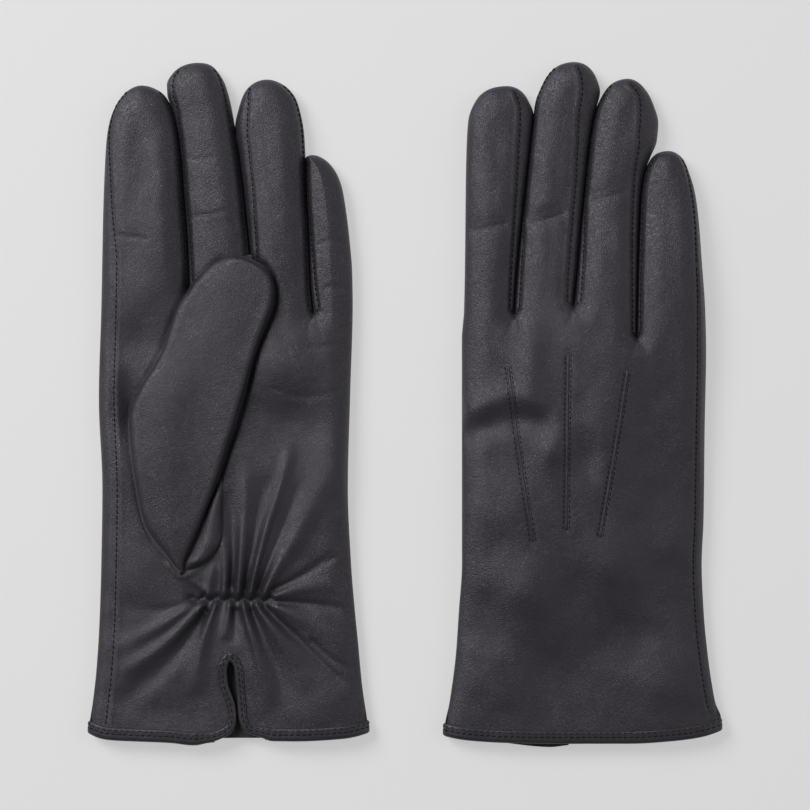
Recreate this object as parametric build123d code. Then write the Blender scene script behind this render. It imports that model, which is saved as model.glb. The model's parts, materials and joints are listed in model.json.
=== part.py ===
"""A pair of lined leather dress gloves, lying flat side by side, in millimetres.

The left glove lies on its back with the thumb folded over the palm. The right glove lies on its palm
with the thumb folded under it. Each glove is a back panel, a palm panel, a set of fourchettes between
the fingers, a set-in thumb, a bound hem, a bound vent, a wrist elastic and a lining.
+Y runs from the hem to the fingertips, +Z is up, and the origin is on the table, at the centre of the
pair. A glove's own heights run from its back face, at 0, to its palm face.
"""

from build123d import *
import math
import os

os.makedirs("parts", exist_ok=True)

# Driving dimensions
LENGTH = 250.0  # hem to the tip of the middle finger
GLOVE_OFFSET = 65.2  # a glove's centreline from the centre of the pair
HEM_HALF_WIDTH = 51.7
HEIGHT = 10.0  # outside height of a glove that lies flat and empty
LEATHER = 0.9
LINING = 0.8
ELASTIC_SPACE = 0.7  # room between the palm leather and its lining
LAYER_GAP = 0.35  # clear space between the thumb and the palm
THUMB_HEIGHT = {"left": 8.5, "right": 4.2}
THUMB_TURN = {"left": 0.0, "right": -12.0}
THUMB_PIVOT = (-23.6, 80.5)

# Hem and vent bindings
BINDING_HEIGHT = 5.5
BINDING_OUTER = 0.4
BINDING_INNER = 0.4
BINDING_LIP = 0.6
VENT_X = 1.5
VENT_TOP = 25.0
VENT_TOP_RADIUS = 2.8
VENT_MOUTH_RADIUS = 1.3
VENT_BINDING = 0.8

# Wrist elastic, held gathered
ELASTIC_WIDTH = 5.0
ELASTIC_LENGTH = 29.8
ELASTIC_THICKNESS = 0.6
ELASTIC_Y = 53.4

# How far each panel wraps round on to the other face
INDEX_WRAP = 5.0
LITTLE_WRAP = 3.4

# Raised points on the back: a lower and an upper end for each
POINT_WIDTH = 1.6
POINT_DEPTH = 0.4
POINTS = (((-18.5, 72.7), (-27.8, 138.5)), ((-6.7, 77.3), (-5.6, 141.5)), ((5.6, 74.7), (16.2, 136.0)))

# Seam threads, sunk into the outer faces
THREAD_WIDTH = 0.6
THREAD_DEPTH = 0.3

NAMES = ("index", "middle", "ring", "little")

# For each finger: edges at the shoulder, the height of the tip, and the line it bends on.
# Between two fingers: the two edges of the slot at its foot, and the height of that foot.
GLOVES = {
    "left": {
        "side": ((-51.7, 0.0), (-51.7, 6.1), (-47.9, 42.0), (-47.3, 166.0)),
        "fingers": {
            "index": (-45.3, -20.4, 240.8, 187.0),
            "middle": (-19.6, 1.4, 250.0, 191.0),
            "ring": (3.2, 26.6, 243.0, 192.0),
            "little": (28.2, 42.6, 215.3, 186.0),
        },
        "slots": ((-16.2, -14.0, 166.6), (8.4, 10.2, 164.0), (28.6, 30.4, 158.8)),
        "far_side": ((45.4, 156.0), (44.2, 92.0), (47.0, 42.0), (51.7, 6.1), (51.7, 0.0)),
    },
    "right": {
        "side": ((-51.7, 0.0), (-51.7, 6.1), (-45.8, 45.0), (-43.9, 163.0)),
        "fingers": {
            "index": (-42.6, -19.3, 240.8, 188.0),
            "middle": (-17.4, 4.3, 250.0, 193.0),
            "ring": (5.2, 27.2, 243.7, 196.0),
            "little": (28.3, 42.4, 216.4, 186.0),
        },
        "slots": ((-25.8, -23.6, 157.3), (-4.6, -2.4, 160.1), (18.6, 20.6, 148.0)),
        "far_side": ((45.3, 136.0), (44.2, 66.0), (46.2, 42.0), (51.7, 6.1), (51.7, 0.0)),
    },
}

# The set-in thumb's outline, seen on the left palm: foot, outer seam, tip and folded inner edge
THUMB_FOOT = (-15.7, 60.7)
THUMB_SEAM_MIDDLE = (-32.6, 84.0)
THUMB_CORNER = (-36.9, 119.8)
THUMB_OUTER_MIDDLE = (-22.6, 149.4)
THUMB_TIP_START = (-6.4, 172.8)
THUMB_TIP = (6.4, 177.4)
THUMB_TIP_END = (17.0, 165.6)
THUMB_FOLD = (-2.2, 99.7)
THUMB_HOLE_CENTRE = (-22.0, 92.0)
THUMB_HOLE_RADII = (6.5, 17.0)
THUMB_HOLE_TURN = -12.0

# Heights inside a glove, from the outside of its back
BACK_IN = LEATHER
LINING_BACK_IN = LEATHER + LINING
PALM_IN = HEIGHT - LEATHER
LINING_PALM_OUT = PALM_IN - ELASTIC_SPACE
LINING_PALM_IN = LINING_PALM_OUT - LINING
FAR = 300.0


class Glove:
    """One glove's plan and its place on the table."""

    def __init__(self, hand):
        self.hand = hand
        self.plan = GLOVES[hand]
        self.x = -GLOVE_OFFSET if hand == "left" else GLOVE_OFFSET
        self.thumb_height = THUMB_HEIGHT[hand]
        self.rest = 0.0 if hand == "left" else self.thumb_height + LAYER_GAP

    def height(self, z):
        """Height above the table of a height measured from the glove's back."""
        return z if self.hand == "left" else self.rest + HEIGHT - z

    def prism(self, face, low, high):
        """A plan face made solid between two heights of the glove."""
        ends = sorted((self.height(low), self.height(high)))
        return Pos(self.x, -LENGTH / 2, ends[0]) * extrude(face, ends[1] - ends[0], dir=(0, 0, 1))

    def frame(self, inset):
        """The glove's end view at the hem, moved inwards by inset, as width and low and high heights."""
        return 2 * (HEM_HALF_WIDTH - inset), inset, HEIGHT - inset


def polygon(*points):
    """A face with straight edges through the points."""
    return Polygon(*points, align=None)


def outline(glove, inset):
    """The whole glove in plan, moved inwards by inset everywhere but at the hem."""
    plan = glove.plan
    fingers = list(plan["fingers"].values())
    edges = []
    here = None

    def line_to(point):
        nonlocal here
        if here is not None:
            edges.append(Line(here, point))
        here = point

    for x, y in plan["side"]:
        line_to((x + inset, y))
    for number, finger in enumerate(fingers):
        left, right, tip, _ = finger
        round_start = shoulder(finger)
        line_to((left + inset, round_start))
        end = (right - inset, round_start)
        edges.append(ThreePointArc(here, ((left + right) / 2, tip - inset), end))
        here = end
        if number < len(plan["slots"]):
            slot_left, slot_right, foot = plan["slots"][number]
            line_to((slot_left - inset, foot - inset))
            line_to((slot_right + inset, foot - inset))
    for x, y in plan["far_side"]:
        line_to((x - inset, y))
    x, y = plan["side"][0]
    line_to((x + inset, y))
    return make_face(edges)


def slot_line(glove, number, hinge):
    """Three points up the middle of a slot, from a bending line to beyond the fingertips."""
    if number < 0:
        return [(-FAR, hinge), (-FAR, hinge + 1), (-FAR, FAR)]
    if number >= len(glove.plan["slots"]):
        return [(FAR, hinge), (FAR, hinge + 1), (FAR, FAR)]
    fingers = list(glove.plan["fingers"].values())
    left, right = fingers[number], fingers[number + 1]
    slot_left, slot_right, foot = glove.plan["slots"][number]
    top = min(shoulder(left), shoulder(right))

    def left_edge(y):
        return slot_edge((slot_left, foot), left[1], shoulder(left), y)

    def right_edge(y):
        return slot_edge((slot_right, foot), right[0], shoulder(right), y)

    low_x = (left_edge(hinge) + right_edge(hinge)) / 2
    top_x = (left_edge(top) + right_edge(top)) / 2
    taller_edge = left_edge if shoulder(left) > shoulder(right) else right_edge
    far_x = top_x + taller_edge(FAR) - taller_edge(top)
    return [(low_x, hinge), (top_x, top), (far_x, FAR)]


def shoulder(finger):
    """How far from the hem the round tip of a finger begins."""
    left, right, tip, _ = finger
    return tip - (right - left) / 2


def slot_edge(foot, top_x, top_y, y):
    """Where one straight edge of a slot lies at a given distance from the hem."""
    return foot[0] + (top_x - foot[0]) * (y - foot[1]) / (top_y - foot[1])


def finger_zone(glove, number):
    """The part of the plan above a finger's bending line."""
    hinge = list(glove.plan["fingers"].values())[number][3]
    left = slot_line(glove, number - 1, hinge)
    right = slot_line(glove, number, hinge)
    return polygon(*left, *reversed(right))


def hand_face(glove, inset):
    """The hand of the glove and the finger roots, up to the bending lines."""
    face = outline(glove, inset)
    for number in range(len(NAMES)):
        face -= finger_zone(glove, number)
    return face


def finger_face(glove, number, inset):
    """A finger beyond its bending line."""
    return outline(glove, inset) & finger_zone(glove, number)


def index_strip(glove, width):
    """The strip along the index finger's side, out to the seam on the palm."""
    left, _, tip, _ = glove.plan["fingers"]["index"]
    seam = [(x + width, y) for x, y in glove.plan["side"]] + [(left + width, tip)]
    return polygon((-FAR, -FAR), (seam[0][0], -FAR), *seam, (left + width, FAR), (-FAR, FAR))


def little_strip(glove, width):
    """The strip along the little finger's side, out to the seam on the back."""
    _, right, tip, _ = glove.plan["fingers"]["little"]
    seam = [(x - width, y) for x, y in glove.plan["far_side"]]
    top = [(FAR, FAR), (right - width, FAR), (right - width, tip)]
    return polygon(*top, *seam, (seam[-1][0], -FAR), (FAR, -FAR))


def band(left, low, right, high):
    """A plain rectangle of the plan."""
    return polygon((left, low), (right, low), (right, high), (left, high))


def vent_face(inset):
    """The vent's cut in the palm, moved inwards by inset."""
    top = Pos(VENT_X, VENT_TOP) * Circle(VENT_TOP_RADIUS - inset)
    mouth = band(
        VENT_X - VENT_MOUTH_RADIUS + inset, -BINDING_HEIGHT, VENT_X + VENT_MOUTH_RADIUS - inset, VENT_TOP
    )
    return top + mouth


def thumb_face(glove, inset):
    """The folded thumb in plan, moved inwards by inset."""
    face = make_face(
        [
            ThreePointArc(THUMB_FOOT, THUMB_SEAM_MIDDLE, THUMB_CORNER),
            ThreePointArc(THUMB_CORNER, THUMB_OUTER_MIDDLE, THUMB_TIP_START),
            ThreePointArc(THUMB_TIP_START, THUMB_TIP, THUMB_TIP_END),
            Line(THUMB_TIP_END, THUMB_FOLD),
            Line(THUMB_FOLD, THUMB_FOOT),
        ]
    )
    if inset:
        face = offset(face, -inset, kind=Kind.INTERSECTION)
    return turned(face, THUMB_TURN[glove.hand])


def turned(face, angle):
    """A plan face turned about the thumb's pivot."""
    x, y = THUMB_PIVOT
    return Pos(x, y) * Rot(0, 0, angle) * Pos(-x, -y) * face


def thumb_hole():
    """The hole in the palm, and in the foot of the thumb, that the wearer's thumb passes through."""
    return Pos(*THUMB_HOLE_CENTRE) * Rot(0, 0, THUMB_HOLE_TURN) * Ellipse(*THUMB_HOLE_RADII)


def binding_leg(glove, outer, inner, low_y, high_y):
    """A loop round the hem between two insets of the end view."""
    wide, z_low, z_high = glove.frame(outer)
    narrow, in_low, in_high = glove.frame(inner)
    if inner > LEATHER:  # the loop follows the lining, which stands off the palm by the elastic's room
        in_high -= ELASTIC_SPACE
    if outer > LEATHER:
        z_high -= ELASTIC_SPACE
    whole = glove.prism(band(-wide / 2, low_y, wide / 2, high_y), z_low, z_high)
    middle = glove.prism(band(-narrow / 2, low_y, narrow / 2, high_y), in_low, in_high)
    return whole - middle


def hem_binding(glove):
    """The strip folded over the hem: an outer leg, a lip that covers the raw edges and an inner leg."""
    inside = LEATHER + LINING
    outer = binding_leg(glove, 0, BINDING_OUTER, BINDING_LIP, BINDING_HEIGHT)
    lip = binding_leg(glove, 0, inside + BINDING_INNER, 0, BINDING_LIP)
    inner = binding_leg(glove, inside, inside + BINDING_INNER, BINDING_LIP, BINDING_HEIGHT)
    slit = glove.prism(vent_face(0), HEIGHT / 2, HEIGHT)
    return outer + lip + inner - slit


def seam_threads(glove):
    """The threads of the two side seams, on the palm face and on the back face."""
    below = band(-FAR, BINDING_HEIGHT, FAR, FAR)
    half = THREAD_WIDTH / 2
    index = (index_strip(glove, INDEX_WRAP + half) - index_strip(glove, INDEX_WRAP - half)) & below
    little = (little_strip(glove, LITTLE_WRAP + half) - little_strip(glove, LITTLE_WRAP - half)) & below
    hand = hand_face(glove, 0)
    return [
        glove.prism(index & hand, HEIGHT - THREAD_DEPTH, HEIGHT),
        glove.prism(little & hand, 0, THREAD_DEPTH),
    ]


def point_ridges(glove):
    """The three points, each a narrow ridge worked along the back."""
    ridges = []
    for (x0, y0), (x1, y1) in POINTS:
        length = math.hypot(x1 - x0, y1 - y0)
        angle = math.degrees(math.atan2(y1 - y0, x1 - x0))
        face = Pos((x0 + x1) / 2, (y0 + y1) / 2) * Rot(0, 0, angle) * SlotOverall(length, POINT_WIDTH)
        ridges.append(glove.prism(face, 0, POINT_DEPTH))
    return ridges


def hand_parts(glove):
    """Everything on the hand of the glove, up to the fingers' bending lines."""
    whole = hand_face(glove, 0)
    inner = hand_face(glove, LEATHER)
    wall = whole - inner
    index_seam = index_strip(glove, INDEX_WRAP)
    little_seam = little_strip(glove, LITTLE_WRAP)
    above_hem = band(-FAR, BINDING_LIP, FAR, FAR)
    binding = hem_binding(glove)
    threads = seam_threads(glove)
    points = point_ridges(glove)
    vent = glove.prism(vent_face(0), LINING_PALM_IN, HEIGHT)

    def trimmed(shape):
        shape = shape & glove.prism(above_hem, -1, HEIGHT + 1)
        shape -= binding
        for thread in threads:
            shape -= thread
        return shape

    centres = [(left + right) / 2 for left, right, _, _ in glove.plan["fingers"].values()]
    left_wall = wall & band(-FAR, -FAR, centres[0], FAR)
    right_wall = wall & band(centres[-1], -FAR, FAR, FAR)
    back = (
        glove.prism(whole - little_seam, 0, BACK_IN)
        + glove.prism(left_wall, BACK_IN, PALM_IN)
        + glove.prism(whole & index_seam, PALM_IN, HEIGHT)
    )
    for ridge in points:
        back -= ridge
    palm = (
        glove.prism(whole - index_seam - thumb_hole(), PALM_IN, HEIGHT)
        + glove.prism(right_wall, BACK_IN, PALM_IN)
        + glove.prism(whole & little_seam, 0, BACK_IN)
    )
    palm -= vent
    parts = {
        "back_panel": trimmed(back),
        "palm_panel": trimmed(palm),
        "hem_binding": binding,
        "side_seam_threads": Compound(children=threads),
        "back_points": Compound(children=points),
    }

    slot_names = ("index_middle", "middle_ring", "ring_little")
    for number, name in enumerate(slot_names):
        foot = glove.plan["slots"][number][2]
        piece = wall & band(centres[number], foot - 2 * LEATHER, centres[number + 1], FAR)
        parts[f"{name}_fourchette"] = glove.prism(piece, BACK_IN, PALM_IN)

    liner = glove.prism(inner, BACK_IN, LINING_PALM_OUT)
    liner -= glove.prism(hand_face(glove, LEATHER + LINING), LINING_BACK_IN, LINING_PALM_IN)
    liner -= glove.prism(thumb_hole(), HEIGHT / 2, HEIGHT)
    liner -= vent
    parts["hand_lining"] = trimmed(liner)

    parts["vent_binding"] = (
        glove.prism(vent_face(0) - vent_face(VENT_BINDING), LINING_PALM_IN, HEIGHT)
        & glove.prism(above_hem, -1, HEIGHT + 1)
    )
    half = ELASTIC_LENGTH / 2
    strip = band(-half, ELASTIC_Y - ELASTIC_WIDTH / 2, half, ELASTIC_Y + ELASTIC_WIDTH / 2)
    middle = (PALM_IN + LINING_PALM_OUT) / 2
    parts["wrist_elastic"] = glove.prism(
        strip, middle - ELASTIC_THICKNESS / 2, middle + ELASTIC_THICKNESS / 2
    )
    return parts


def finger_parts(glove, number):
    """One finger beyond its bending line: back and palm leather, fourchettes and lining."""
    name = NAMES[number]
    left, right, _, _ = glove.plan["fingers"][name]
    middle = (left + right) / 2
    whole = finger_face(glove, number, 0)
    inner = finger_face(glove, number, LEATHER)
    wall = whole - inner
    left_wall = wall & band(-FAR, -FAR, middle, FAR)
    right_wall = wall & band(middle, -FAR, FAR, FAR)
    fourchettes = []
    back_face, palm_face = whole, whole
    back_extra, palm_extra = [], []
    if name == "index":
        strip = index_strip(glove, INDEX_WRAP)
        palm_face = whole - strip
        back_extra = [(left_wall, BACK_IN, PALM_IN), (whole & strip, PALM_IN, HEIGHT)]
    else:
        fourchettes.append(left_wall)
    if name == "little":
        strip = little_strip(glove, LITTLE_WRAP)
        back_face = whole - strip
        palm_extra = [(right_wall, BACK_IN, PALM_IN), (whole & strip, 0, BACK_IN)]
    else:
        fourchettes.append(right_wall)
    back = glove.prism(back_face, 0, BACK_IN)
    for extra in back_extra:
        back += glove.prism(*extra)
    palm = glove.prism(palm_face, PALM_IN, HEIGHT)
    for extra in palm_extra:
        palm += glove.prism(*extra)
    liner = glove.prism(inner, BACK_IN, LINING_PALM_OUT)
    liner -= glove.prism(finger_face(glove, number, LEATHER + LINING), LINING_BACK_IN, LINING_PALM_IN)
    walls = [glove.prism(face, BACK_IN, PALM_IN) for face in fourchettes]
    return {
        f"{name}_back": back,
        f"{name}_palm": palm,
        f"{name}_fourchettes": Compound(children=walls),
        f"{name}_lining": liner,
    }


def thumb_parts(glove):
    """The thumb's leather, folded into a flat tube over its hole, and its lining."""
    low = HEIGHT + LAYER_GAP
    high = low + glove.thumb_height
    hole = glove.prism(thumb_hole(), low, low + glove.thumb_height / 2)
    leather = glove.prism(thumb_face(glove, 0), low, high)
    leather -= glove.prism(thumb_face(glove, LEATHER), low + LEATHER, high - LEATHER)
    liner = glove.prism(thumb_face(glove, LEATHER), low + LEATHER, high - LEATHER)
    wall = LEATHER + LINING
    liner -= glove.prism(thumb_face(glove, wall), low + wall, high - wall)
    return {"thumb_leather": leather - hole, "thumb_lining": liner - hole}


def write(hand, parts):
    """One file for each piece of a glove."""
    for name, shape in parts.items():
        export_step(shape, f"parts/{hand}_{name}.step")


for hand in GLOVES:
    glove = Glove(hand)
    write(hand, hand_parts(glove))
    for number in range(len(NAMES)):
        write(hand, finger_parts(glove, number))
    write(hand, thumb_parts(glove))
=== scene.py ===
"""Looks of a pair of lined leather dress gloves that lie flat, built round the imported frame.

Each glove is drawn in plan, in millimetres, with x across it from its centreline and y from its hem. Its
two faces are grids of leather over that plan, which meet along the outline. Seams, gathers and creases are
worked into the grids, and the grids are then cut into the panels that a glove is sewn from.
"""

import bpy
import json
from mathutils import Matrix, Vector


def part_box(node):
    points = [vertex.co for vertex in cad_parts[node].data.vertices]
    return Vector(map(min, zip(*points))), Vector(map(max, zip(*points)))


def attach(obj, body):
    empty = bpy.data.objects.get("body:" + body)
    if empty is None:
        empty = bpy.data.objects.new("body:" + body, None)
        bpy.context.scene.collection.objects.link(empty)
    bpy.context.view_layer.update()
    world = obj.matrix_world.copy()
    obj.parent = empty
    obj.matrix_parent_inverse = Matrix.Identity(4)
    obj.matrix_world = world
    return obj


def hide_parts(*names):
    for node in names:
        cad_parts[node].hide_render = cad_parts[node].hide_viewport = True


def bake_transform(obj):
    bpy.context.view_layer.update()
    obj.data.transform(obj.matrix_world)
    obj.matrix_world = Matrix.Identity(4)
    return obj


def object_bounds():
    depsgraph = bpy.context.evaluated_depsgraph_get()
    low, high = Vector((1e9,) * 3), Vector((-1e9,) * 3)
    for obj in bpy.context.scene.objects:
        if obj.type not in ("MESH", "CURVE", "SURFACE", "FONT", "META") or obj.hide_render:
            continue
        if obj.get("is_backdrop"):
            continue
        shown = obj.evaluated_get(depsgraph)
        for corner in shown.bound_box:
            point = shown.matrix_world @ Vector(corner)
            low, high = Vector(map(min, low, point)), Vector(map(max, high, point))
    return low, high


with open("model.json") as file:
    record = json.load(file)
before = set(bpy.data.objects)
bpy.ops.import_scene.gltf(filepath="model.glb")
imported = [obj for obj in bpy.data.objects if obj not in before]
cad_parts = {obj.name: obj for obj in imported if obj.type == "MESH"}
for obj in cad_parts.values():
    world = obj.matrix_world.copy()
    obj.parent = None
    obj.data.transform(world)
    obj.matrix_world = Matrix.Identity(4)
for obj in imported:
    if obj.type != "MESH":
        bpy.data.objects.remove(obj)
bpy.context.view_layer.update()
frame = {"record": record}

import json
import math
import bpy
import numpy as np

MM = 0.001
FINGERS = ("index", "middle", "ring", "little")
SLOTS = ("index_middle", "middle_ring", "ring_little")

# Leather and sewing
LEATHER = 0.8
KNIT = 0.5
LINING_INSET = 1.5
THUMB_LINING_INSET = 1.0
ELASTIC_INSET = 0.9
ELASTIC_THICKNESS = 0.45
ELASTIC_HALF = 2.4
STITCH_PITCH = 2.0
STITCH_LENGTH = 1.5
STITCH_WIDTH = 0.54
BINDING_PITCH = 2.2

# Section of a glove that lies empty
EDGE_HEIGHT = 3.2
UPPER_ROUND = 9.5
LOWER_ROUND = 3.2
UNDER_SWELL = (0, 0.7, 2, 5)
FINGER_GAP = -0.06
# A distance from the hem, and how high the upper face lies there
HEIGHTS = ((0, 6.6), (25, 7.0), (60, 7.6), (110, 8.6), (160, 8.8), (200, 9.6), (250, 9.2))

# Least heights above the table of the leather, the bindings and the stitches, and how much higher the
# leather starts at the hem
TABLE_CLEAR = 0.42
BAND_CLEAR = 0.05
STITCH_CLEAR = 0.02
HEM_CLEAR = 0.6

# Grid of a face: cells across the strip beside each edge, cells across the rest of a finger, row height
STRIP_CELLS = 5
MIDDLE_CELLS = 30
ROW = 0.9
TIP = 9.0
TIP_ROWS = 14
APEX_POINTS = 30
SPLIT_BELOW_HINGE = 9.0

# Every outline runs upwards. A side runs from the hem to its fingertip, a slot from its foot to where the
# two fingers part, and the last points of each finger lead on to its tip.
PLANS = {
    "left": {
        "upper": "palm",
        "hems": {
            "palm": (
                (-51.7, 3.9), (-45.6, 1.9), (-20.9, 0.7), (-12.4, -0.2), (-5.4, 0.6), (10.9, 1.4),
                (22.9, 1.3), (44.1, 2.4), (51.7, 4.1),
            ),
            "back": ((-51.7, 3.9), (-40, 2.4), (0, 2.0), (40, 2.4), (51.7, 4.1)),
        },
        "left_side": (
            (-51.7, 0), (-51.0, 8), (-48.9, 27), (-47.8, 44), (-47.1, 66), (-46.7, 94), (-48.0, 127),
            (-47.1, 160), (-46.3, 199), (-45.6, 216), (-45.0, 224), (-43.9, 230), (-41.9, 235.3),
            (-38.5, 240),
        ),
        "right_side": (
            (51.7, 0), (50.8, 10.5), (49.3, 22), (47.8, 38), (46.7, 49), (45.3, 66), (44.1, 94),
            (44.9, 127), (45.9, 162), (45.7, 174), (44.7, 186.3), (43.4, 197), (42.0, 205), (40.3, 209.8),
            (37.7, 213.8), (34.3, 216.5),
        ),
        "slots": (
            ((-14.4, 167.4), (-15.2, 186), (-16.4, 202), (-17.4, 216), (-18.7, 226), (-20.7, 234)),
            ((9.2, 166.2), (8.1, 180), (6.8, 192.3), (5.4, 205.7), (4.1, 215.8), (2.4, 227.2)),
            ((31.3, 159.3), (30.3, 170), (29.6, 189), (28.8, 202.4), (28.5, 213.5)),
        ),
        "tips": {
            "index": {"apex": (-32.1, 243.1), "left": (), "right": ((-23.9, 239.6), (-28.1, 242.3))},
            "middle": {
                "apex": (-11.4, 251.5),
                "left": ((-22.6, 239.6), (-22.8, 243.4), (-20.7, 247.4), (-18.1, 249.7)),
                "right": ((0.8, 236), (-1.3, 243.4), (-4, 248), (-7.3, 250.9)),
            },
            "ring": {
                "apex": (14.2, 245.3),
                "left": ((3.8, 234.6), (6.1, 240.7), (9.5, 244)),
                "right": ((27.8, 225.9), (26.6, 232.6), (24.9, 238), (22.2, 241.7), (18.2, 244.4)),
            },
            "little": {"apex": (30.9, 217.4), "left": ((28.5, 216.2),), "right": ()},
        },
    },
    "right": {
        "upper": "back",
        "hems": {
            "palm": (
                (-50.8, 3.0), (-35, 1.4), (-24, -0.4), (-11.7, -1.4), (-5.4, -0.7), (10.9, 1.6), (34, 2.2),
                (44.8, 3.2), (51.7, 5.0),
            ),
            "back": (
                (-50.8, 3.0), (-44, 1.8), (-29.4, 0.8), (-4.7, 0.4), (16.5, 0.4), (34.2, 1.5), (44.8, 3.0),
                (51.7, 5.0),
            ),
        },
        "left_side": (
            (-50.8, 0), (-50.4, 5), (-48.6, 16), (-46.4, 33), (-45.3, 49), (-44.2, 66), (-44.2, 149),
            (-43.4, 160), (-43.0, 182), (-42.7, 210), (-41.9, 229.5), (-39.0, 237.5), (-34.0, 241.8),
        ),
        "right_side": (
            (51.7, 0), (51.5, 7), (49.3, 16), (46.7, 33), (45.2, 49), (44.5, 66), (45.2, 83), (45.6, 116),
            (46.0, 143), (45.6, 160), (44.5, 177), (43.4, 193), (41.9, 204), (40.1, 210), (37.6, 215.8),
        ),
        "slots": (
            ((-24.9, 159.3), (-23.5, 178), (-22.3, 190), (-20.5, 206), (-19.0, 220), (-17.7, 232)),
            ((-3.0, 162.3), (-1.5, 176), (-0.2, 191), (1.5, 208), (3.0, 221.7), (5.3, 234)),
            ((20.1, 150.6), (20.5, 171), (21.2, 190), (22.0, 203), (23.0, 210)),
        ),
        "tips": {
            "index": {"apex": (-27.5, 242.9), "left": (), "right": ((-19.6, 237.4), (-22.6, 241.3))},
            "middle": {
                "apex": (-2.6, 251.8),
                "left": ((-16.9, 237.2), (-15.4, 241.2), (-12.8, 246.3), (-8.7, 250.3)),
                "right": ((6.9, 240.8), (5.6, 245.6), (2.2, 250.3)),
            },
            "ring": {
                "apex": (17.2, 245.6),
                "left": ((7.2, 238.4), (11.2, 243.7)),
                "right": ((25.4, 216.4), (27.8, 222.4), (28.4, 229), (26.6, 236), (22.8, 242.6)),
            },
            "little": {"apex": (32.2, 218.9), "left": ((24.9, 214.6), (28.2, 218.1)), "right": ()},
        },
    },
}

# How far in from a finger's left and right edges each seam lies, as heights and insets
SEAM_INSETS = {
    "left": {
        "palm": {
            "index": (
                ((150, 6.0), (179, 6.0), (196, 3.9), (212, 2.5), (224, 1.1), (234, 0.6)),
                ((168, 1.2), (215, 1.0), (228, 0.5)),
            ),
            "middle": (
                ((168, 1.5), (216, 1.0), (226, 1.1), (236, 2.3), (243, 2.6), (249, 1.6)),
                ((166, 1.5), (199, 1.3), (226, 1.1), (236, 1.6), (243, 1.4), (248, 0.6)),
            ),
            "ring": (
                ((166, 2.2), (186, 2.9), (202, 3.7), (216, 4.0), (229, 5.0), (237, 3.2), (243, 0.6)),
                ((160, 1.4), (196, 1.0), (216, 0.8), (232, 0.6)),
            ),
            "little": (((160, 2.3), (175, 1.6), (189, 1.0), (216, 0.8)), ((160, 4.0), (210, 4.0))),
        },
        "back": {
            "index": (((0, 5.0), (230, 5.0)), ((160, 1.8), (230, 2.6))),
            "middle": (((160, 1.8), (230, 2.6)), ((160, 2.0), (230, 2.6))),
            "ring": (((160, 2.0), (230, 2.6)), ((160, 2.0), (230, 2.4))),
            "little": (((160, 1.6), (210, 1.6)), ((0, 3.4), (150, 3.6), (190, 2.2), (210, 0.9))),
        },
    },
    "right": {
        "palm": {
            "index": (((0, 5.5), (150, 6.0), (196, 3.9), (224, 1.1)), ((160, 1.6), (230, 1.6))),
            "middle": (((160, 1.6), (230, 2.0)), ((160, 1.6), (230, 2.4))),
            "ring": (((150, 1.6), (230, 2.4)), ((150, 1.8), (230, 2.0))),
            "little": (((150, 1.4), (210, 1.4)), ((150, 4.0), (210, 4.0))),
        },
        "back": {
            "index": (((0, 5.0), (230, 5.0)), ((159, 1.8), (184, 2.5), (208, 3.7), (232, 5.2), (240, 3.4))),
            "middle": (
                ((160, 1.8), (180, 1.5), (193, 0.9), (205, 0.4)),
                (
                    (162, 2.6), (174, 3.6), (191, 3.6), (208, 3.8), (222, 4.6), (234, 6.4), (242, 7.0),
                    (248, 5.2),
                ),
            ),
            "ring": (
                ((162, 2.4), (180, 1.7), (200, 0.9), (240, 0.6)),
                (
                    (150, 1.7), (184, 2.7), (204, 3.1), (211, 3.8), (217, 5.4), (224, 7.4), (230, 7.2),
                    (239, 4.4),
                ),
            ),
            "little": (
                ((150, 1.2), (200, 1.0)),
                ((0, 3.4), (150, 3.8), (177, 2.8), (191, 2.2), (205, 1.9), (213, 0.8)),
            ),
        },
    },
}


# Curves and distances

def smooth(knots, values, where):
    """A curve through the values that never overshoots them."""
    knots = np.asarray(knots, float)
    values = np.asarray(values, float)
    where = np.asarray(where, float)
    if len(knots) == 2:
        return np.interp(where, knots, values)
    step = np.diff(knots)
    slope = np.diff(values) / step
    tangent = np.zeros(len(knots))
    same = slope[:-1] * slope[1:] > 0
    first, second = 2 * step[1:] + step[:-1], step[1:] + 2 * step[:-1]
    safe_a, safe_b = np.where(same, slope[:-1], 1), np.where(same, slope[1:], 1)
    tangent[1:-1] = np.where(same, (first + second) / (first / safe_a + second / safe_b), 0)
    tangent[0], tangent[-1] = slope[0], slope[-1]
    cell = np.clip(np.searchsorted(knots, where) - 1, 0, len(step) - 1)
    t = np.clip((where - knots[cell]) / step[cell], 0, 1)
    rise, run = values[cell + 1] - values[cell], step[cell]
    start, end = tangent[cell] * run, tangent[cell + 1] * run
    bend = t * t * (3 * rise - 2 * start - end)
    return values[cell] + t * start + bend + t ** 3 * (start + end - 2 * rise)


def ease(value):
    """Nought to one, with a gentle start and end."""
    value = np.clip(value, 0, 1)
    return value * value * (3 - 2 * value)


def growing(where, least, more, start, run):
    """A value that grows from its least, from a start and over a run."""
    return least + more * ease((where - start) / run)


def quarter_round(value):
    """The rise of a quarter circle from nought to one."""
    value = np.clip(value, 0, 1)
    return np.sqrt(1 - (1 - value) ** 2)


def distances(points):
    """How far along a polyline each of its points lies."""
    return np.concatenate([[0], np.cumsum(np.linalg.norm(np.diff(points, axis=0), axis=1))])


def resample(points, pitch):
    """Points an even pitch apart along a polyline."""
    points = np.asarray(points, float)
    along = distances(points)
    places = np.linspace(0, along[-1], max(2, int(round(along[-1] / pitch)) + 1))
    return np.stack([np.interp(places, along, column) for column in points.T], axis=1)


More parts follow.
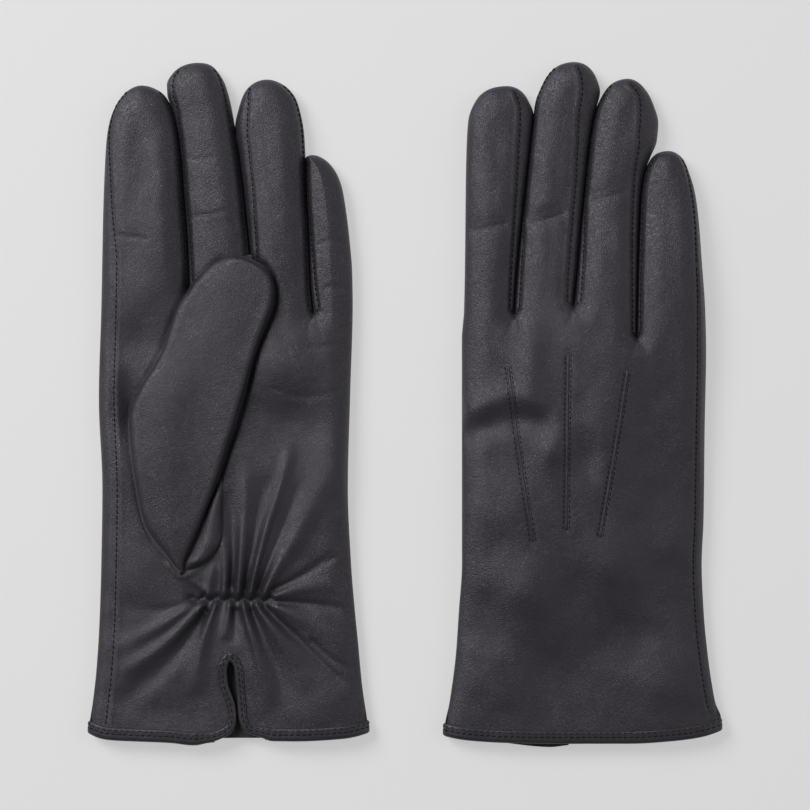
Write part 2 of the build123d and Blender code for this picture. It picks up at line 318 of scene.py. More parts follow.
def rounded(points, pitch=1.0):
    """A smooth line through a few points, sampled at a pitch."""
    points = np.asarray(points, float)
    along = distances(points)
    places = np.linspace(0, along[-1], max(3, int(along[-1] / pitch) + 1))
    return np.stack([smooth(along, column, places) for column in points.T], axis=1)


def from_line(x, y, line):
    """Distance of each point from a polyline, and how far along the line its foot lies, nought to one."""
    line = np.asarray(line, float)
    start, span = line[:-1], np.diff(line, axis=0)
    length = np.linalg.norm(span, axis=1)
    along = np.concatenate([[0], np.cumsum(length)])[:-1]
    best = np.full(x.shape, 1e9)
    place = np.zeros(x.shape)
    for (x0, y0), (dx, dy), size, done in zip(start, span, length, along):
        if size < 1e-9:
            continue
        t = np.clip(((x - x0) * dx + (y - y0) * dy) / size ** 2, 0, 1)
        gap = np.hypot(x - x0 - t * dx, y - y0 - t * dy)
        nearer = gap < best
        best = np.where(nearer, gap, best)
        place = np.where(nearer, done + t * size, place)
    return best, place / max(length.sum(), 1e-9)


def fold(x, y, line, height, start_width, end_width, fade=0.75):
    """A ridge, or a groove when height is negative, that widens and fades along a line."""
    line = rounded(line, 2.0)
    low, high = line.min(axis=0) - 4 * end_width, line.max(axis=0) + 4 * end_width
    near = (x > low[0]) & (x < high[0]) & (y > low[1]) & (y < high[1])
    result = np.zeros(x.shape)
    gap, place = from_line(x[near], y[near], line)
    width = start_width + (end_width - start_width) * place
    strength = (1 - fade * place) * ease(place / 0.05 + 0.45) * (1 - ease((place - 0.8) / 0.2))
    result[near] = height * strength * np.exp(-(gap / width) ** 2)
    return result


def hollow(x, y, centre, size, height):
    """A broad soft bump, or a dent when height is negative."""
    across = ((x - centre[0]) / size[0]) ** 2 + ((y - centre[1]) / size[1]) ** 2
    return height * np.exp(-across)


def ripple(x, y, seed, size, height):
    """Soft uneven waves, the same every time for one seed."""
    random = np.random.default_rng(seed)
    total = np.zeros(np.shape(x))
    for _ in range(7):
        angle, phase = random.uniform(0, math.tau, 2)
        wave = size * random.uniform(0.7, 1.5)
        total += np.sin((x * math.cos(angle) + y * math.sin(angle)) * math.tau / wave + phase)
    return height * total / 7


# Features worked into a glove's faces, in its plan

# Wavelength and height of the leather's own unevenness
SLOW_WAVES = (34, 0.8)
QUICK_WAVES = (12, 0.2)
# Distance from the outline over which relief sets in
CALM_EDGE = 2.4
# Share of a face's relief that its under side keeps, where the table flattens it
UNDER_RELIEF = 0.7

# The elastic's line over the wrist, the zigzag of leather drawn in along it, and its two troughs
ELASTIC_Y = 53.4
ELASTIC_ENDS = (-13.6, 15.4)
GATHER_PITCH = 4.95
GATHER_PHASE = 3.3
GATHER_ZIGZAG = 0.8
NARROW_TROUGH = (1.3, 0.95)
WIDE_TROUGH = (1.1, 7)

# Folds that run from the elastic. Each has its line, its height, and its width at the start and the end
GATHER_DEPTH = 1.25
UPPER_GATHERS = (
    (((-8.3, 56.5), (-12.7, 60.4), (-16.8, 63.4)), 0.8, 1.2, 2.2),
    (((-7.2, 54.6), (-6.6, 61), (-4.4, 67.5)), 1.2, 1.1, 2.0),
    (((-1.7, 54.6), (-0.9, 61.7), (-0.8, 70), (-2.2, 78)), 1.9, 1.2, 2.6),
    (((3.6, 54.6), (4.6, 65.5), (5.6, 78), (6.6, 91), (6.0, 106)), 1.9, 1.1, 3.0),
    (((8.0, 54.6), (10.6, 66), (14.4, 80), (19.1, 94), (24.2, 114)), 2.1, 1.1, 2.4),
    (((12.9, 54.6), (17.5, 64), (25.5, 77), (32, 91), (37, 108)), 1.9, 1.3, 6.5),
    (((15.9, 54.6), (27.3, 57.4), (42, 59.6)), 1.1, 1.3, 4.0),
)
LOWER_GATHERS = (
    (((-12.5, 51.8), (-26, 43), (-43, 34)), 1.5, 1.2, 4.2),
    (((-9.0, 51.8), (-22, 38), (-42, 24.5)), 1.8, 1.2, 3.6),
    (((-4.3, 52.2), (-6.4, 46.4), (-8.3, 40.1), (-10.8, 29.9), (-13, 16)), 1.8, 1.1, 3.8),
    (((0.6, 52.2), (0.1, 46.4), (-1.3, 37.5)), 1.4, 1.0, 2.2),
    (((5.5, 52.2), (7, 46.4), (9.9, 36.9), (14, 24.2), (18.4, 11.5)), 1.9, 1.1, 3.6),
    (((10.0, 52.2), (15.6, 44.5), (23, 32.7), (31, 18)), 1.7, 1.2, 4.6),
    (((14.8, 52.6), (29.9, 44.5), (47.0, 33)), 1.0, 1.4, 5.0),
)
# Grooves between the gathers
GATHER_CREASES = (
    (((15.9, 56.2), (28.6, 62.9), (41.3, 72.2)), -1.1, 1.0, 2.0),
    (((15.9, 52.6), (36.2, 50.9), (46.4, 48.3)), -1.1, 0.9, 1.8),
    (((12.4, 51.1), (26.4, 38.2), (46.0, 19)), -1.6, 1.1, 2.0),
    (((30.4, 38.5), (38.2, 31.5), (48.6, 25.8)), -0.8, 0.9, 1.5),
    (((36.0, 66.5), (44.0, 71.5)), -0.35, 0.7, 0.8),
    (((-12.2, 51.2), (-30, 49.5), (-44, 52)), -0.35, 1.0, 3.0),
    (((-7.5, 50.0), (-20, 32), (-44, 12)), -1.5, 1.3, 5.0),
    (((0.9, 57.5), (1.6, 68), (1.4, 82), (-0.4, 96)), -1.3, 1.3, 2.4),
    (((6.2, 56), (8.4, 68), (11.0, 84), (15.0, 102)), -1.0, 1.2, 2.6),
    (((11.2, 56), (15.5, 68), (22.0, 84), (28.0, 100)), -0.9, 1.0, 2.4),
    (((2.6, 50), (2.4, 42), (1.6, 36)), -1.4, 1.5, 2.4),
    (((8.2, 50.5), (12.5, 40), (17.8, 27), (21, 15)), -1.2, 1.2, 2.6),
)
# Creases where the leather bends in use, with the same facts
PALM_CREASES = (
    (((-40.8, 187.4), (-34, 186.6), (-28.8, 185.5)), -0.55, 0.5, 0.7),
    (((-16.2, 216.2), (-10, 215.4), (-3, 216.4)), -0.4, 0.5, 0.7),
    (((-14.6, 194.0), (-8, 194.8), (1, 196.6)), -0.45, 0.5, 0.7),
    (((33, 184.0), (38, 185.4), (44, 184.6)), -0.45, 0.5, 0.7),
    (((35, 167.6), (40, 168.6), (45, 168.2)), -0.5, 0.5, 0.7),
    (((20, 150), (30, 146), (44, 148)), -0.3, 0.7, 1.4),
    (((16, 131), (28, 128), (43, 130)), -0.25, 0.8, 1.8),
    (((-22, 66.5), (-17, 61.8), (-10.5, 64.5)), 0.8, 0.8, 0.8),
)
BACK_CREASES = (
    (((-42.4, 189.6), (-34, 191.2), (-26.6, 193)), -0.8, 3.4, 4.4),
    (((-20.6, 192.6), (-13, 194.2), (-5, 197.2)), -0.8, 3.4, 4.4),
    (((3.2, 200.8), (10, 202.4), (17.6, 205)), -0.6, 3.0, 4.0),
    (((-46, 122), (-35, 126), (-25, 129), (-11, 122)), 1.5, 4.4, 4.4),
    (((-46, 112), (-34, 117), (-22, 119.5), (-9, 111)), -1.5, 4.4, 4.4),
    (((-42.4, 188.6), (-34, 190.2), (-26.6, 192)), -0.55, 0.5, 0.8),
    (((-20.6, 191.6), (-13, 193.2), (-5, 196.2)), -0.55, 0.5, 0.8),
    (((3.2, 199.8), (10, 201.4), (17.6, 204)), -0.5, 0.5, 0.8),
    (((23, 204.6), (28.4, 206.4)), -0.5, 0.5, 0.8),
)
# Small puckers that spread below the foot of each slot: how far to the side and how high, and then how
# far each point of a pucker lies to the side, as a share of that, and below the foot
PUCKERS = ((-3.2, 0.12), (-1.4, -0.14), (0.4, 0.12), (2.2, -0.14))
PUCKER_LINE = ((0.4, 2.2), (1.1, 5.5), (1.6, 10))

# Soft swells and dents: a centre, a half-width each way and a height
BACK_SWELLS = (
    ((-19, 140), (5, 14), 1.4),
    ((-30, 103), (16, 11), -1.0),
    ((-11.5, 109), (5.5, 8), 2.2),
    ((9, 122), (9, 17), 1.5),
    ((1, 105), (6, 8), -1.7),
    ((-27, 86), (12, 12), 0.9),
    ((-34, 72), (10, 9), -1.5),
    ((37, 118), (10, 24), 1.1),
    ((-18, 56), (12, 10), 1.2),
    ((-4, 56), (10, 12), -1.3),
    ((12, 68), (10, 13), 1.6),
    ((32, 74), (8, 12), 1.6),
    ((-36, 50), (8, 14), -1.2),
    ((14, 38), (14, 10), -1.2),
    ((-30, 26), (13, 15), 1.2),
    ((30, 22), (12, 12), 1.6),
    ((-6, 26), (14, 9), -0.9),
    ((-34, 160), (7, 15), 0.7),
    ((12, 150), (8, 9), 0.6),
    ((43, 182), (12, 44), 1.8),
    ((30, 137), (9, 14), -0.8),
)
PALM_SWELLS = (
    ((19, 140), (12, 12), 2.0),
    ((25, 117), (14, 10), -1.5),
    ((41, 106), (9, 26), 1.3),
    ((-33, 147), (12, 9), -1.8),
    ((-36.5, 124), (5, 13), -3.0),
    ((-33, 168), (10, 10), 0.9),
    ((34, 14), (12, 9), 1.4),
    ((-22, 12), (14, 8), -0.8),
    ((-33, 62), (9, 12), 0.8),
    ((-30, 215), (8, 14), -0.6),
    ((-24, 200), (7, 30), 1.0),
    ((-3, 208), (8, 28), 1.0),
    ((21, 212), (8, 28), 1.3),
)

# Points on the back, from the wrist up
POINTS = (
    ((-18.3, 74.8), (-23.2, 107), (-27.6, 140.5)), ((-6.0, 79.2), (-5.8, 112), (-5.4, 144.2)),
    ((6.3, 76.6), (11.5, 107), (16.4, 137.9)),
)
POINT_ROWS = 2.2
POINT_HALF = 0.5
POINT_HEIGHT = 0.36
# Depth and half-width of the hollow that each point lies in
POINT_HOLLOW = (0.22, 1.6)

# A seam: the height, place and half-width of the ridge beside it, and the depth and half-width of its groove
SEAM_RIDGE = (0.28, 1.2, 0.8)
SEAM_GROOVE = (0.5, 0.45)

# The vent's edge, from the hem on the index side, up round the loop and down to the hem on the far side
VENT_EDGE = (
    (-12.4, 0), (-5.4, 0.6), (-1.8, 2.0), (0.9, 4.0), (2.6, 6.8), (3.0, 10), (2.6, 14.1), (1.2, 18.4),
    (-0.2, 22.6), (-0.5, 27.4), (0.9, 30.8), (2.3, 28.8), (2.9, 22.6), (3.5, 15.5), (3.8, 11.3), (4.5, 7.7),
    (6.8, 4.4), (10.9, 2.2), (15.5, 0),
)
# How far the leather reaches under the binding, and a place that is surely below the hem
VENT_LAP = 1.0
BELOW_HEM = -9.0
VENT_BAND = 2.9
HEM_BAND = 4.2
HEM_EASE = 16.0

# The thumb, folded over the palm: its outer edge and its folded edge, both from the foot to the tip
THUMB_FOOT = (-16.6, 63.6)
THUMB_APEX = (3.4, 179.8)
THUMB_OUTER = (
    (-23.2, 69.2), (-27.4, 74.9), (-30.8, 81.2), (-32.9, 90.2), (-35.0, 102.9), (-36.2, 114), (-36.6, 120),
    (-35.8, 124.2), (-30.8, 133.6), (-25.9, 141.2), (-22.7, 149), (-18.9, 159.7), (-14.6, 167.6),
    (-8.6, 174.2), (-2.6, 178.4),
)
THUMB_FOLD = (
    (-15.9, 67), (-13.6, 72.5), (-8.7, 84.2), (-3.7, 96.9), (-0.3, 108), (3.1, 118.1), (6.5, 130),
    (10.7, 145.2), (14.6, 155.4), (17.0, 162), (17.4, 167), (16.4, 171.9), (13.3, 175.9), (9.0, 178.7),
)
# Height of its crown above the palm's along its length, and how much lower its outer side lies
THUMB_CROWN = ((60, 2.6), (80, 3.9), (110, 4.9), (150, 5.1), (180, 4.6))
THUMB_TILT = 1.2
THUMB_SWELLS = (((-26, 112), (9, 20), 0.6), ((-10, 118), (9, 30), -0.7))
# How round it is at its outer edge and at its fold, and the least gap between its two sides
THUMB_RADII = (3.4, 2.2)
THUMB_WALLS = 1.8
# Heights above the palm of its outer rim, its folded rim and its under side: the least, how much more it
# becomes, where along the glove that starts and over what length
OUTER_RIM = (0.1, 1.2, 112, 20)
FOLD_RIM = (0.5, 1.3, 64, 30)
UNDER_SIDE = (0.3, 0.3, 100, 30)
UNDER_RADIUS = 2.6
# The right thumb, pressed flat under the hand: how round its edges are, its gap below the palm, the least
# gap between its two sides, and how far its foot is drawn up to the palm, where and over what length
FLAT_RADIUS = 3.2
FLAT_GAP = 0.3
FLAT_WALLS = 0.9
FLAT_FOOT = (1.4, 64, 24)
THUMB_PIVOT = (-23.6, 80.5)
THUMB_TURN = {"left": 0.0, "right": -12.0}
# The right thumb's middle, which lies under the hand, and how far it holds the hand up
UNDER_THUMB = ((-14, 74), (-6, 120), (18, 158))
THUMB_LIFT = 3.4
LIFT_REACH = (8, 40)
# The gusset: how far inside the thumb's fold it starts, how high it stands, where it begins and ends, and
# its outer edge from its foot up
GUSSET_TUCK = 2.2
GUSSET_RISE = 3.0
GUSSET_ENDS = (63.2, 101)
GUSSET_EDGE = (
    (-15.2, 63.4), (-8.7, 66.9), (-4.3, 71.6), (-2.5, 76.5), (-2.1, 84.2), (-2.0, 92.7), (-2.3, 100.6),
)


# Lines along which the palm is pressed in beside the thumb, with the depth and half-width of each
THUMB_BEDS = ((THUMB_OUTER, 0.4, 1.2), (THUMB_FOLD[2:], 1.1, 1.4))


def trough_y(x):
    """The zigzag line over the wrist that the elastic's thread draws in."""
    return ELASTIC_Y - GATHER_ZIGZAG * np.cos((x - GATHER_PHASE) * math.tau / GATHER_PITCH)


class Glove:
    """One glove: its outline, the heights of its two faces and the leather grids that follow them."""

    def __init__(self, hand):
        self.hand = hand
        self.plan = PLANS[hand]
        self.upper = self.plan["upper"]
        low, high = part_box(f"{hand}_hem_binding")
        self.centre = (low[0] + high[0]) / 2 / MM
        self.hem = low[1] / MM
        self.hinges = {}
        for joint in frame["record"]["behaviour"]["joints"]:
            if joint["child"].startswith(hand) and joint["child"] != f"{hand}_thumb":
                if joint["type"] == "hinge":
                    self.hinges[joint["child"].split("_")[1]] = [value / MM for value in joint["pos_m"]]
        self.hinges["thumb"] = (self.centre + THUMB_PIVOT[0], self.hem + THUMB_PIVOT[1], 0.0)
        self.edges = self.outline_edges()
        self.rows = self.row_heights()
        self.border = self.border_lines()
        self.patches = [(face, name) for face in ("palm", "back") for name in FINGERS]
        self.grids = [self.face_grid(face, name) for face, name in self.patches]

    def feet(self):
        return [line[0][1] for line in self.plan["slots"]]

    def outline_edges(self):
        """For each finger, the points of its left edge and of its right edge, up to its tip."""
        slots, tips = self.plan["slots"], self.plan["tips"]
        edges = {}
        for number, name in enumerate(FINGERS):
            tip = tips[name]
            left = self.plan["left_side"] if number == 0 else slots[number - 1]
            right = self.plan["right_side"] if number == 3 else slots[number]
            apex = (tip["apex"],)
            edges[name] = (tuple(left) + tip["left"] + apex, tuple(right) + tip["right"] + apex)
        return edges

    def edge_x(self, name, side, y):
        """Where a finger's left (0) or right (1) edge lies at each distance from the hem."""
        points = np.array(self.edges[name][side], float)
        top = points[-1, 1]
        knots = np.sqrt(top - points[::-1, 1])
        x = smooth(knots, points[::-1, 0], np.sqrt(np.maximum(top - y, 0)))
        number = FINGERS.index(name)
        inner = (side == 0 and number > 0) or (side == 1 and number < 3)
        if inner:
            foot = points[0, 1]
            away = 1 if side == 0 else -1
            gap = FINGER_GAP * np.clip((y - foot) / 1.0, 0, 1) * np.clip((top - y) / 2.0, 0, 1)
            below = points[0, 0] * (0.55 + 0.45 * np.clip(y / foot, 0, 1))
            x = np.where(y <= foot + 1e-9, below, x + away * gap)
        return np.round(x, 4)

    def row_heights(self):
        """The rows of each finger: the ones that all four share, and its own up to its tip."""
        feet = self.feet()
        shared_top = max(feet) + 2.0
        marks = sorted([0.0, *feet, shared_top])
        shared = [0.0]
        for low, high in zip(marks[:-1], marks[1:]):
            count = max(1, int(round((high - low) / ROW)))
            shared += list(np.linspace(low, high, count + 1)[1:])
        rows = {}
        for name in FINGERS:
            top = self.plan["tips"][name]["apex"][1]
            count = int(round((top - TIP - shared_top) / ROW))
            own = np.linspace(shared_top, top - TIP, count + 1)[1:]
            tip = top - np.linspace(math.sqrt(TIP), 0, TIP_ROWS + 1)[1:] ** 2
            rows[name] = np.round(np.concatenate([shared, own, tip]), 4)
        self.shared = len(shared)
        return rows

    def split_row(self, name):
        """The row below a finger's hinge where its leather is cut from the hand's."""
        y = self.hinges[name][1] - self.hem - SPLIT_BELOW_HINGE
        return int(np.argmin(np.abs(self.rows[name] - y)))

    def border_lines(self):
        """The outline as polylines: both sides of every finger, without the hem."""
        lines = []
        for number, name in enumerate(FINGERS):
            for side in (0, 1):
                points = self.edges[name][side]
                outer = (side == 0 and number == 0) or (side == 1 and number == 3)
                start = 0.0 if outer else points[0][1]
                top = points[-1][1]
                tip = top - np.linspace(2.4, 0, APEX_POINTS) ** 2
                y = np.concatenate([np.arange(start, top - 6, 2.4), tip])
                lines.append(np.stack([self.edge_x(name, side, y), y], axis=1))
        return lines

    def inside(self, x, y):
        """Distance of each point from the outline."""
        best = np.full(np.shape(x), 1e9)
        for line in self.border:
            low, high = line.min(axis=0) - 14, line.max(axis=0) + 14
            near = (x > low[0]) & (x < high[0]) & (y > low[1]) & (y < high[1])
            gap, _ = from_line(x[near], y[near], line)
            best[near] = np.minimum(best[near], gap)
        return best

    def hem_y(self, face, x):
        """How far above the plan's base line a face's hem lies."""
        points = np.array(self.plan["hems"][face], float)
        return smooth(points[:, 0], points[:, 1], x)

    def hem_ends(self):
        """Where the two sides of the glove lie at its hem."""
        return float(self.edge_x("index", 0, np.array(0.0))), float(self.edge_x("little", 1, np.array(0.0)))

    def lift(self, x, y):
        """How far the hand is held up where the thumb lies under it."""
        if self.hand == "left":
            return np.zeros(np.shape(x))
        gap, _ = from_line(x, y, UNDER_THUMB)
        near, reach = LIFT_REACH
        return THUMB_LIFT * (1 - ease((gap - near) / reach)) * ease(y / 24)

    def detail(self, face, x, y, d):
        """Height added by seams, gathers, creases and the hang of the leather."""
        calm = ease(d / CALM_EDGE)
        total = ripple(x, y, 3 + len(face), *SLOW_WAVES) * ease(d / 9)
        total += ripple(x, y, 11 + len(face), *QUICK_WAVES) * calm
        creases, swells = (PALM_CREASES, PALM_SWELLS) if face == "palm" else (BACK_CREASES, BACK_SWELLS)
        for line, height, start, end in creases:
            total += fold(x, y, line, height, start, end, 0.3) * calm
        for centre, size, height in swells:
            total += hollow(x, y, centre, size, height) * calm
        if face == "palm":
            for line, height, start, end in UPPER_GATHERS + LOWER_GATHERS + GATHER_CREASES:
                total += fold(x, y, line, GATHER_DEPTH * height, start, end) * calm
            across = ease((x - ELASTIC_ENDS[0] + 3) / 3) * ease((ELASTIC_ENDS[1] + 3 - x) / 3)
            for (depth, width), middle in ((NARROW_TROUGH, trough_y(x)), (WIDE_TROUGH, ELASTIC_Y)):
                total -= depth * across * np.exp(-((y - middle) / width) ** 2)
            if self.hand == "left":
                total -= self.thumb_bed(x, y) * calm
        else:
            depth, width = POINT_HOLLOW
            for line in POINTS:
                gap, _ = from_line(x, y, rounded(line, 4.0))
                total -= depth * np.exp(-(gap / width) ** 2)
        for (foot_x, foot), *_ in self.plan["slots"]:
            for away, height in PUCKERS:
                line = [(foot_x + share * away, foot - below) for share, below in PUCKER_LINE]
                total += fold(x, y, line, height, 0.8, 1.6) * calm
        height, place, width = SEAM_RIDGE
        depth, groove = SEAM_GROOVE
        for line in self.seams(face):
            gap, _ = from_line(x, y, line)
            ridge = height * np.exp(-((gap - place) / width) ** 2)
            total += (ridge - depth * np.exp(-(gap / groove) ** 2)) * ease(d / 0.8)
        return total

    def thumb_bed(self, x, y):
        """How far the palm is pressed in beside the thumb that lies on it."""
        depth = np.zeros(np.shape(x))
        for line, most, width in THUMB_BEDS:
            gap, place = from_line(x, y, line)
            depth += most * ease(place / 0.15 + 0.3) * np.exp(-(gap / width) ** 2)
        return depth

    def surface(self, face, x, y, d=None):
        """Height of a face above the table."""
        if d is None:
            d = self.inside(x, y)
        heights = np.array(HEIGHTS, float)
        full = np.interp(y, heights[:, 0], heights[:, 1])
        lift = self.lift(x, y)
        detail = self.detail(face, x, y, d)
        if face == self.upper:
            return lift + EDGE_HEIGHT + (full - EDGE_HEIGHT) * quarter_round(d / UPPER_ROUND) + detail
        under = UNDER_RELIEF * detail
        floor = lift + EDGE_HEIGHT * (1 - quarter_round(d / LOWER_ROUND)) + growing(d, *UNDER_SWELL)
        floor += HEM_CLEAR * (1 - ease((y - 5) / 14))
        return np.maximum(floor - under, TABLE_CLEAR)

    def inset(self, face, name, side, y):
        """How far in from its edge a finger's seam lies."""
        places, insets = zip(*SEAM_INSETS[self.hand][face][name][side])
        return np.interp(y, places, insets)

    def seam_x(self, face, name, side, y):
        """Where a finger's seam lies, kept inside the narrowing tip."""
        left, right = self.edge_x(name, 0, y), self.edge_x(name, 1, y)
        inset = np.minimum(self.inset(face, name, side, y), 0.42 * (right - left))
        return left + inset if side == 0 else right - inset

    def is_wrap(self, face, name, side):
        """Whether a strip beside an edge is the other panel, wrapped round."""
        return (face, name, side) in (("palm", "index", 0), ("back", "little", 1))

    def seams(self, face):
        """The sewn lines of a face: round each slot, and up the side where a panel wraps round."""
        lines = []
        for number, foot in enumerate(self.feet()):
            left_name, right_name = FINGERS[number], FINGERS[number + 1]
            sides = []
            for name, side in ((left_name, 1), (right_name, 0)):
                top = self.edges[name][side][-1][1] - 2.4
                y = np.append(np.arange(foot + 1.0, top, 2.5), top)
                sides.append(np.stack([self.seam_x(face, name, side, y), y], axis=1))
            foot_x = self.plan["slots"][number][0][0]
            bottom = [[foot_x, foot - 1.3]]
            lines.append(np.concatenate([sides[0][::-1], bottom, sides[1]]))
        name, side = ("index", 0) if face == "palm" else ("little", 1)
        top = self.edges[name][side][-1][1] - 2.4
        y = np.append(np.arange(0.0, top, 2.5), top)
        lines.append(np.stack([self.seam_x(face, name, side, y), y], axis=1))
        return lines

    def columns(self, face, name):
        """Plan positions of a finger's grid, row by row."""
        y = self.rows[name]
        left, right = self.edge_x(name, 0, y), self.edge_x(name, 1, y)
        left_seam, right_seam = self.seam_x(face, name, 0, y), self.seam_x(face, name, 1, y)
        strip = 1 - np.cos(np.linspace(0, 1, STRIP_CELLS + 1) * math.pi / 2)
        middle = np.linspace(0, 1, MIDDLE_CELLS + 1)[1:-1]
        parts = [
            left[:, None] + (left_seam - left)[:, None] * strip,
            left_seam[:, None] + (right_seam - left_seam)[:, None] * middle,
            right[:, None] + (right_seam - right)[:, None] * strip[::-1],
        ]
        x = np.round(np.concatenate(parts, axis=1), 4)
        y = np.repeat(y[:, None], x.shape[1], axis=1)
        return x, np.round(y + self.hem_y(face, x) * (1 - ease(y / HEM_EASE)), 4)

    def face_grid(self, face, name):
        """The points of a finger's grid and of the hand below it."""
        x, y = self.columns(face, name)
        d = self.inside(x, y)
        number = FINGERS.index(name)
        left_foot = self.feet()[number - 1] if number > 0 else -1.0
        right_foot = self.feet()[number] if number < 3 else -1.0
        rows = self.rows[name]
        d[rows >= left_foot - 1e-6, 0] = 0
        d[rows >= right_foot - 1e-6, -1] = 0
        d[-1] = 0
        return np.stack([x, y, self.surface(face, x, y, d)], axis=2)

    def skin(self, face, x, y, above=0.0):
        """Points on a face and the outward directions there, raised a little off the leather."""
        step = 0.3
        z = self.surface(face, x, y)
        slope_x = (self.surface(face, x + step, y) - self.surface(face, x - step, y)) / (2 * step)
        slope_y = (self.surface(face, x, y + step) - self.surface(face, x, y - step)) / (2 * step)
        normals = np.stack([-slope_x, -slope_y, np.ones_like(z)], axis=-1)
        normals /= np.linalg.norm(normals, axis=-1, keepdims=True)
        if face != self.upper:
            normals = -normals
        return np.stack([x, y, z], axis=-1) + above * normals, normals

    def place(self, points):
        """Plan points moved to the glove's place on the table."""
        return points + np.array([self.centre, self.hem, 0.0])


# Meshes

def new_object(name, data):
    """An object in the scene."""
    obj = bpy.data.objects.new(name, data)
    bpy.context.collection.objects.link(obj)
    return obj


def mesh_object(name, verts, faces, material, normals=None):
    """A smooth-shaded mesh object in metres, from points in millimetres."""
    mesh = bpy.data.meshes.new(name)
    mesh.from_pydata((np.asarray(verts) * MM).tolist(), [], faces)
    mesh.polygons.foreach_set("use_smooth", [True] * len(mesh.polygons))
    mesh.materials.append(material)
    if normals is not None:
        mesh.normals_split_custom_set_from_vertices(np.asarray(normals).tolist())
    return new_object(name, mesh)


def grid_faces(rows, columns, flip):
    """Corner numbers of a grid's cells."""
    start = np.arange((rows - 1) * columns).reshape(rows - 1, columns)[:, :-1].ravel()
    cells = np.stack([start, start + 1, start + columns + 1, start + columns], axis=1)
    return cells[:, ::-1] if flip else cells


def welded(patches):
    """Several grids joined where their points meet: points, cells, and each cell's patch, row and column."""
    points, cells, marks = [], [], []
    total = 0
    for number, (grid, flip) in enumerate(patches):
        rows, columns = grid.shape[:2]
        points.append(grid.reshape(-1, 3))
        made = grid_faces(rows, columns, flip) + total
        cells.append(made)
        row, column = np.divmod(np.arange((rows - 1) * (columns - 1)), columns - 1)
        marks.append(np.stack([np.full(len(made), number), row, column], axis=1))
        total += rows * columns
    points, cells, marks = np.concatenate(points), np.concatenate(cells), np.concatenate(marks)
    _, first, where = np.unique(np.round(points, 3), axis=0, return_index=True, return_inverse=True)
    return points[first], where.reshape(-1)[cells], marks


def vertex_normals(points, cells):
    """Outward directions at the points of a welded grid."""
    a, b, c, d = (points[cells[:, i]] for i in range(4))
    across = np.cross(c - a, d - b)
    normals = np.zeros_like(points)
    for i in range(4):
        np.add.at(normals, cells[:, i], across)
    length = np.linalg.norm(normals, axis=1, keepdims=True)
    return normals / np.maximum(length, 1e-9)


def clean_cell(cell):
    """A cell without the corners that coincide at a fingertip."""
    kept = []
    for corner in cell:
        if corner not in kept:
            kept.append(corner)
    return kept


def leather_piece(name, points, normals, cells, material, thickness=LEATHER):
    """A panel cut from a glove's grid and given its thickness, inwards."""
    used, local = np.unique(cells, return_inverse=True)
    local = local.reshape(cells.shape)
    outer, direction = points[used], normals[used]
    inner = outer - direction * thickness
    count = len(used)
    faces = [clean_cell(cell) for cell in local.tolist()]
    faces = [face for face in faces if len(face) > 2]
    edge_use = {}
    for face in faces:
        for a, b in zip(face, face[1:] + face[:1]):
            edge_use[(a, b)] = True
    rim = [(a, b) for a, b in edge_use if (b, a) not in edge_use]
    inner_faces = [[corner + count for corner in reversed(face)] for face in faces]
    rim_faces = [[b, a, a + count, b + count] for a, b in rim]
    verts = np.concatenate([outer, inner])
    both = np.concatenate([direction, -direction])
    return mesh_object(name, verts, faces + inner_faces + rim_faces, material, both)


def tube_faces(rings, sides):
    """The faces round a tube of rings, with both ends closed."""
    faces = []
    for ring in range(rings - 1):
        for k in range(sides):
            a, b = ring * sides + k, ring * sides + (k + 1) % sides
            faces.append([a, b, b + sides, a + sides])
    faces.append(list(reversed(range(sides))))
    faces.append([(rings - 1) * sides + k for k in range(sides)])
    return faces


def stitch_template():
    """A short rounded bar along x that stands for one stitch."""
    sides, rings = 6, ((-0.5, 0.25), (-0.36, 0.85), (0.0, 1.0), (0.36, 0.85), (0.5, 0.25))
    verts = []
    for along, size in rings:
        for k in range(sides):
            angle = math.tau * k / sides
            verts.append((along, 0.5 * size * math.cos(angle), 0.5 * size * math.sin(angle)))
    return np.array(verts), tube_faces(len(rings), sides)


STITCH_VERTS, STITCH_FACES = stitch_template()


def stitch_mesh(name, rows, material, width=STITCH_WIDTH):
    """All the stitches of some seams. Each row has points, normals, a pitch and a stitch length."""
    verts, faces = [], []
    for points, normals, pitch, length in rows:
        line = resample(np.concatenate([points, normals], axis=1), pitch / 2)
        for i in range(1, len(line) - 1, 2):
            centre, normal = line[i, :3], line[i, 3:]
            along = line[i + 1, :3] - line[i - 1, :3]
            along /= max(np.linalg.norm(along), 1e-9)
            normal = normal / max(np.linalg.norm(normal), 1e-9)
            across = np.cross(normal, along)
            across /= max(np.linalg.norm(across), 1e-9)
            upright = np.cross(along, across)
            slant = along + 0.14 * across
            slant /= np.linalg.norm(slant)
            side = np.cross(upright, slant)
            made = STITCH_VERTS[:, :1] * length * slant + STITCH_VERTS[:, 1:2] * width * side
            made = made + STITCH_VERTS[:, 2:] * width * 0.8 * upright + centre
            made[:, 2] = np.maximum(made[:, 2], STITCH_CLEAR)
            start = len(verts) * len(STITCH_VERTS)
            verts.append(made)
            faces += [[corner + start for corner in face] for face in STITCH_FACES]
    return mesh_object(name, np.concatenate(verts), faces, material)


# Materials

# Sockets of the colour mix node that share their names with others
MIX_FACTOR, MIX_DARK, MIX_LIGHT, MIX_RESULT = 0, 6, 7, 2


def node(tree, kind, **values):
    """A shader node with its settings and unlinked inputs set."""
    made = tree.nodes.new(kind)
    for key, value in values.items():
        if key in made.inputs:
            made.inputs[key].default_value = value
        else:
            setattr(made, key, value)
    return made


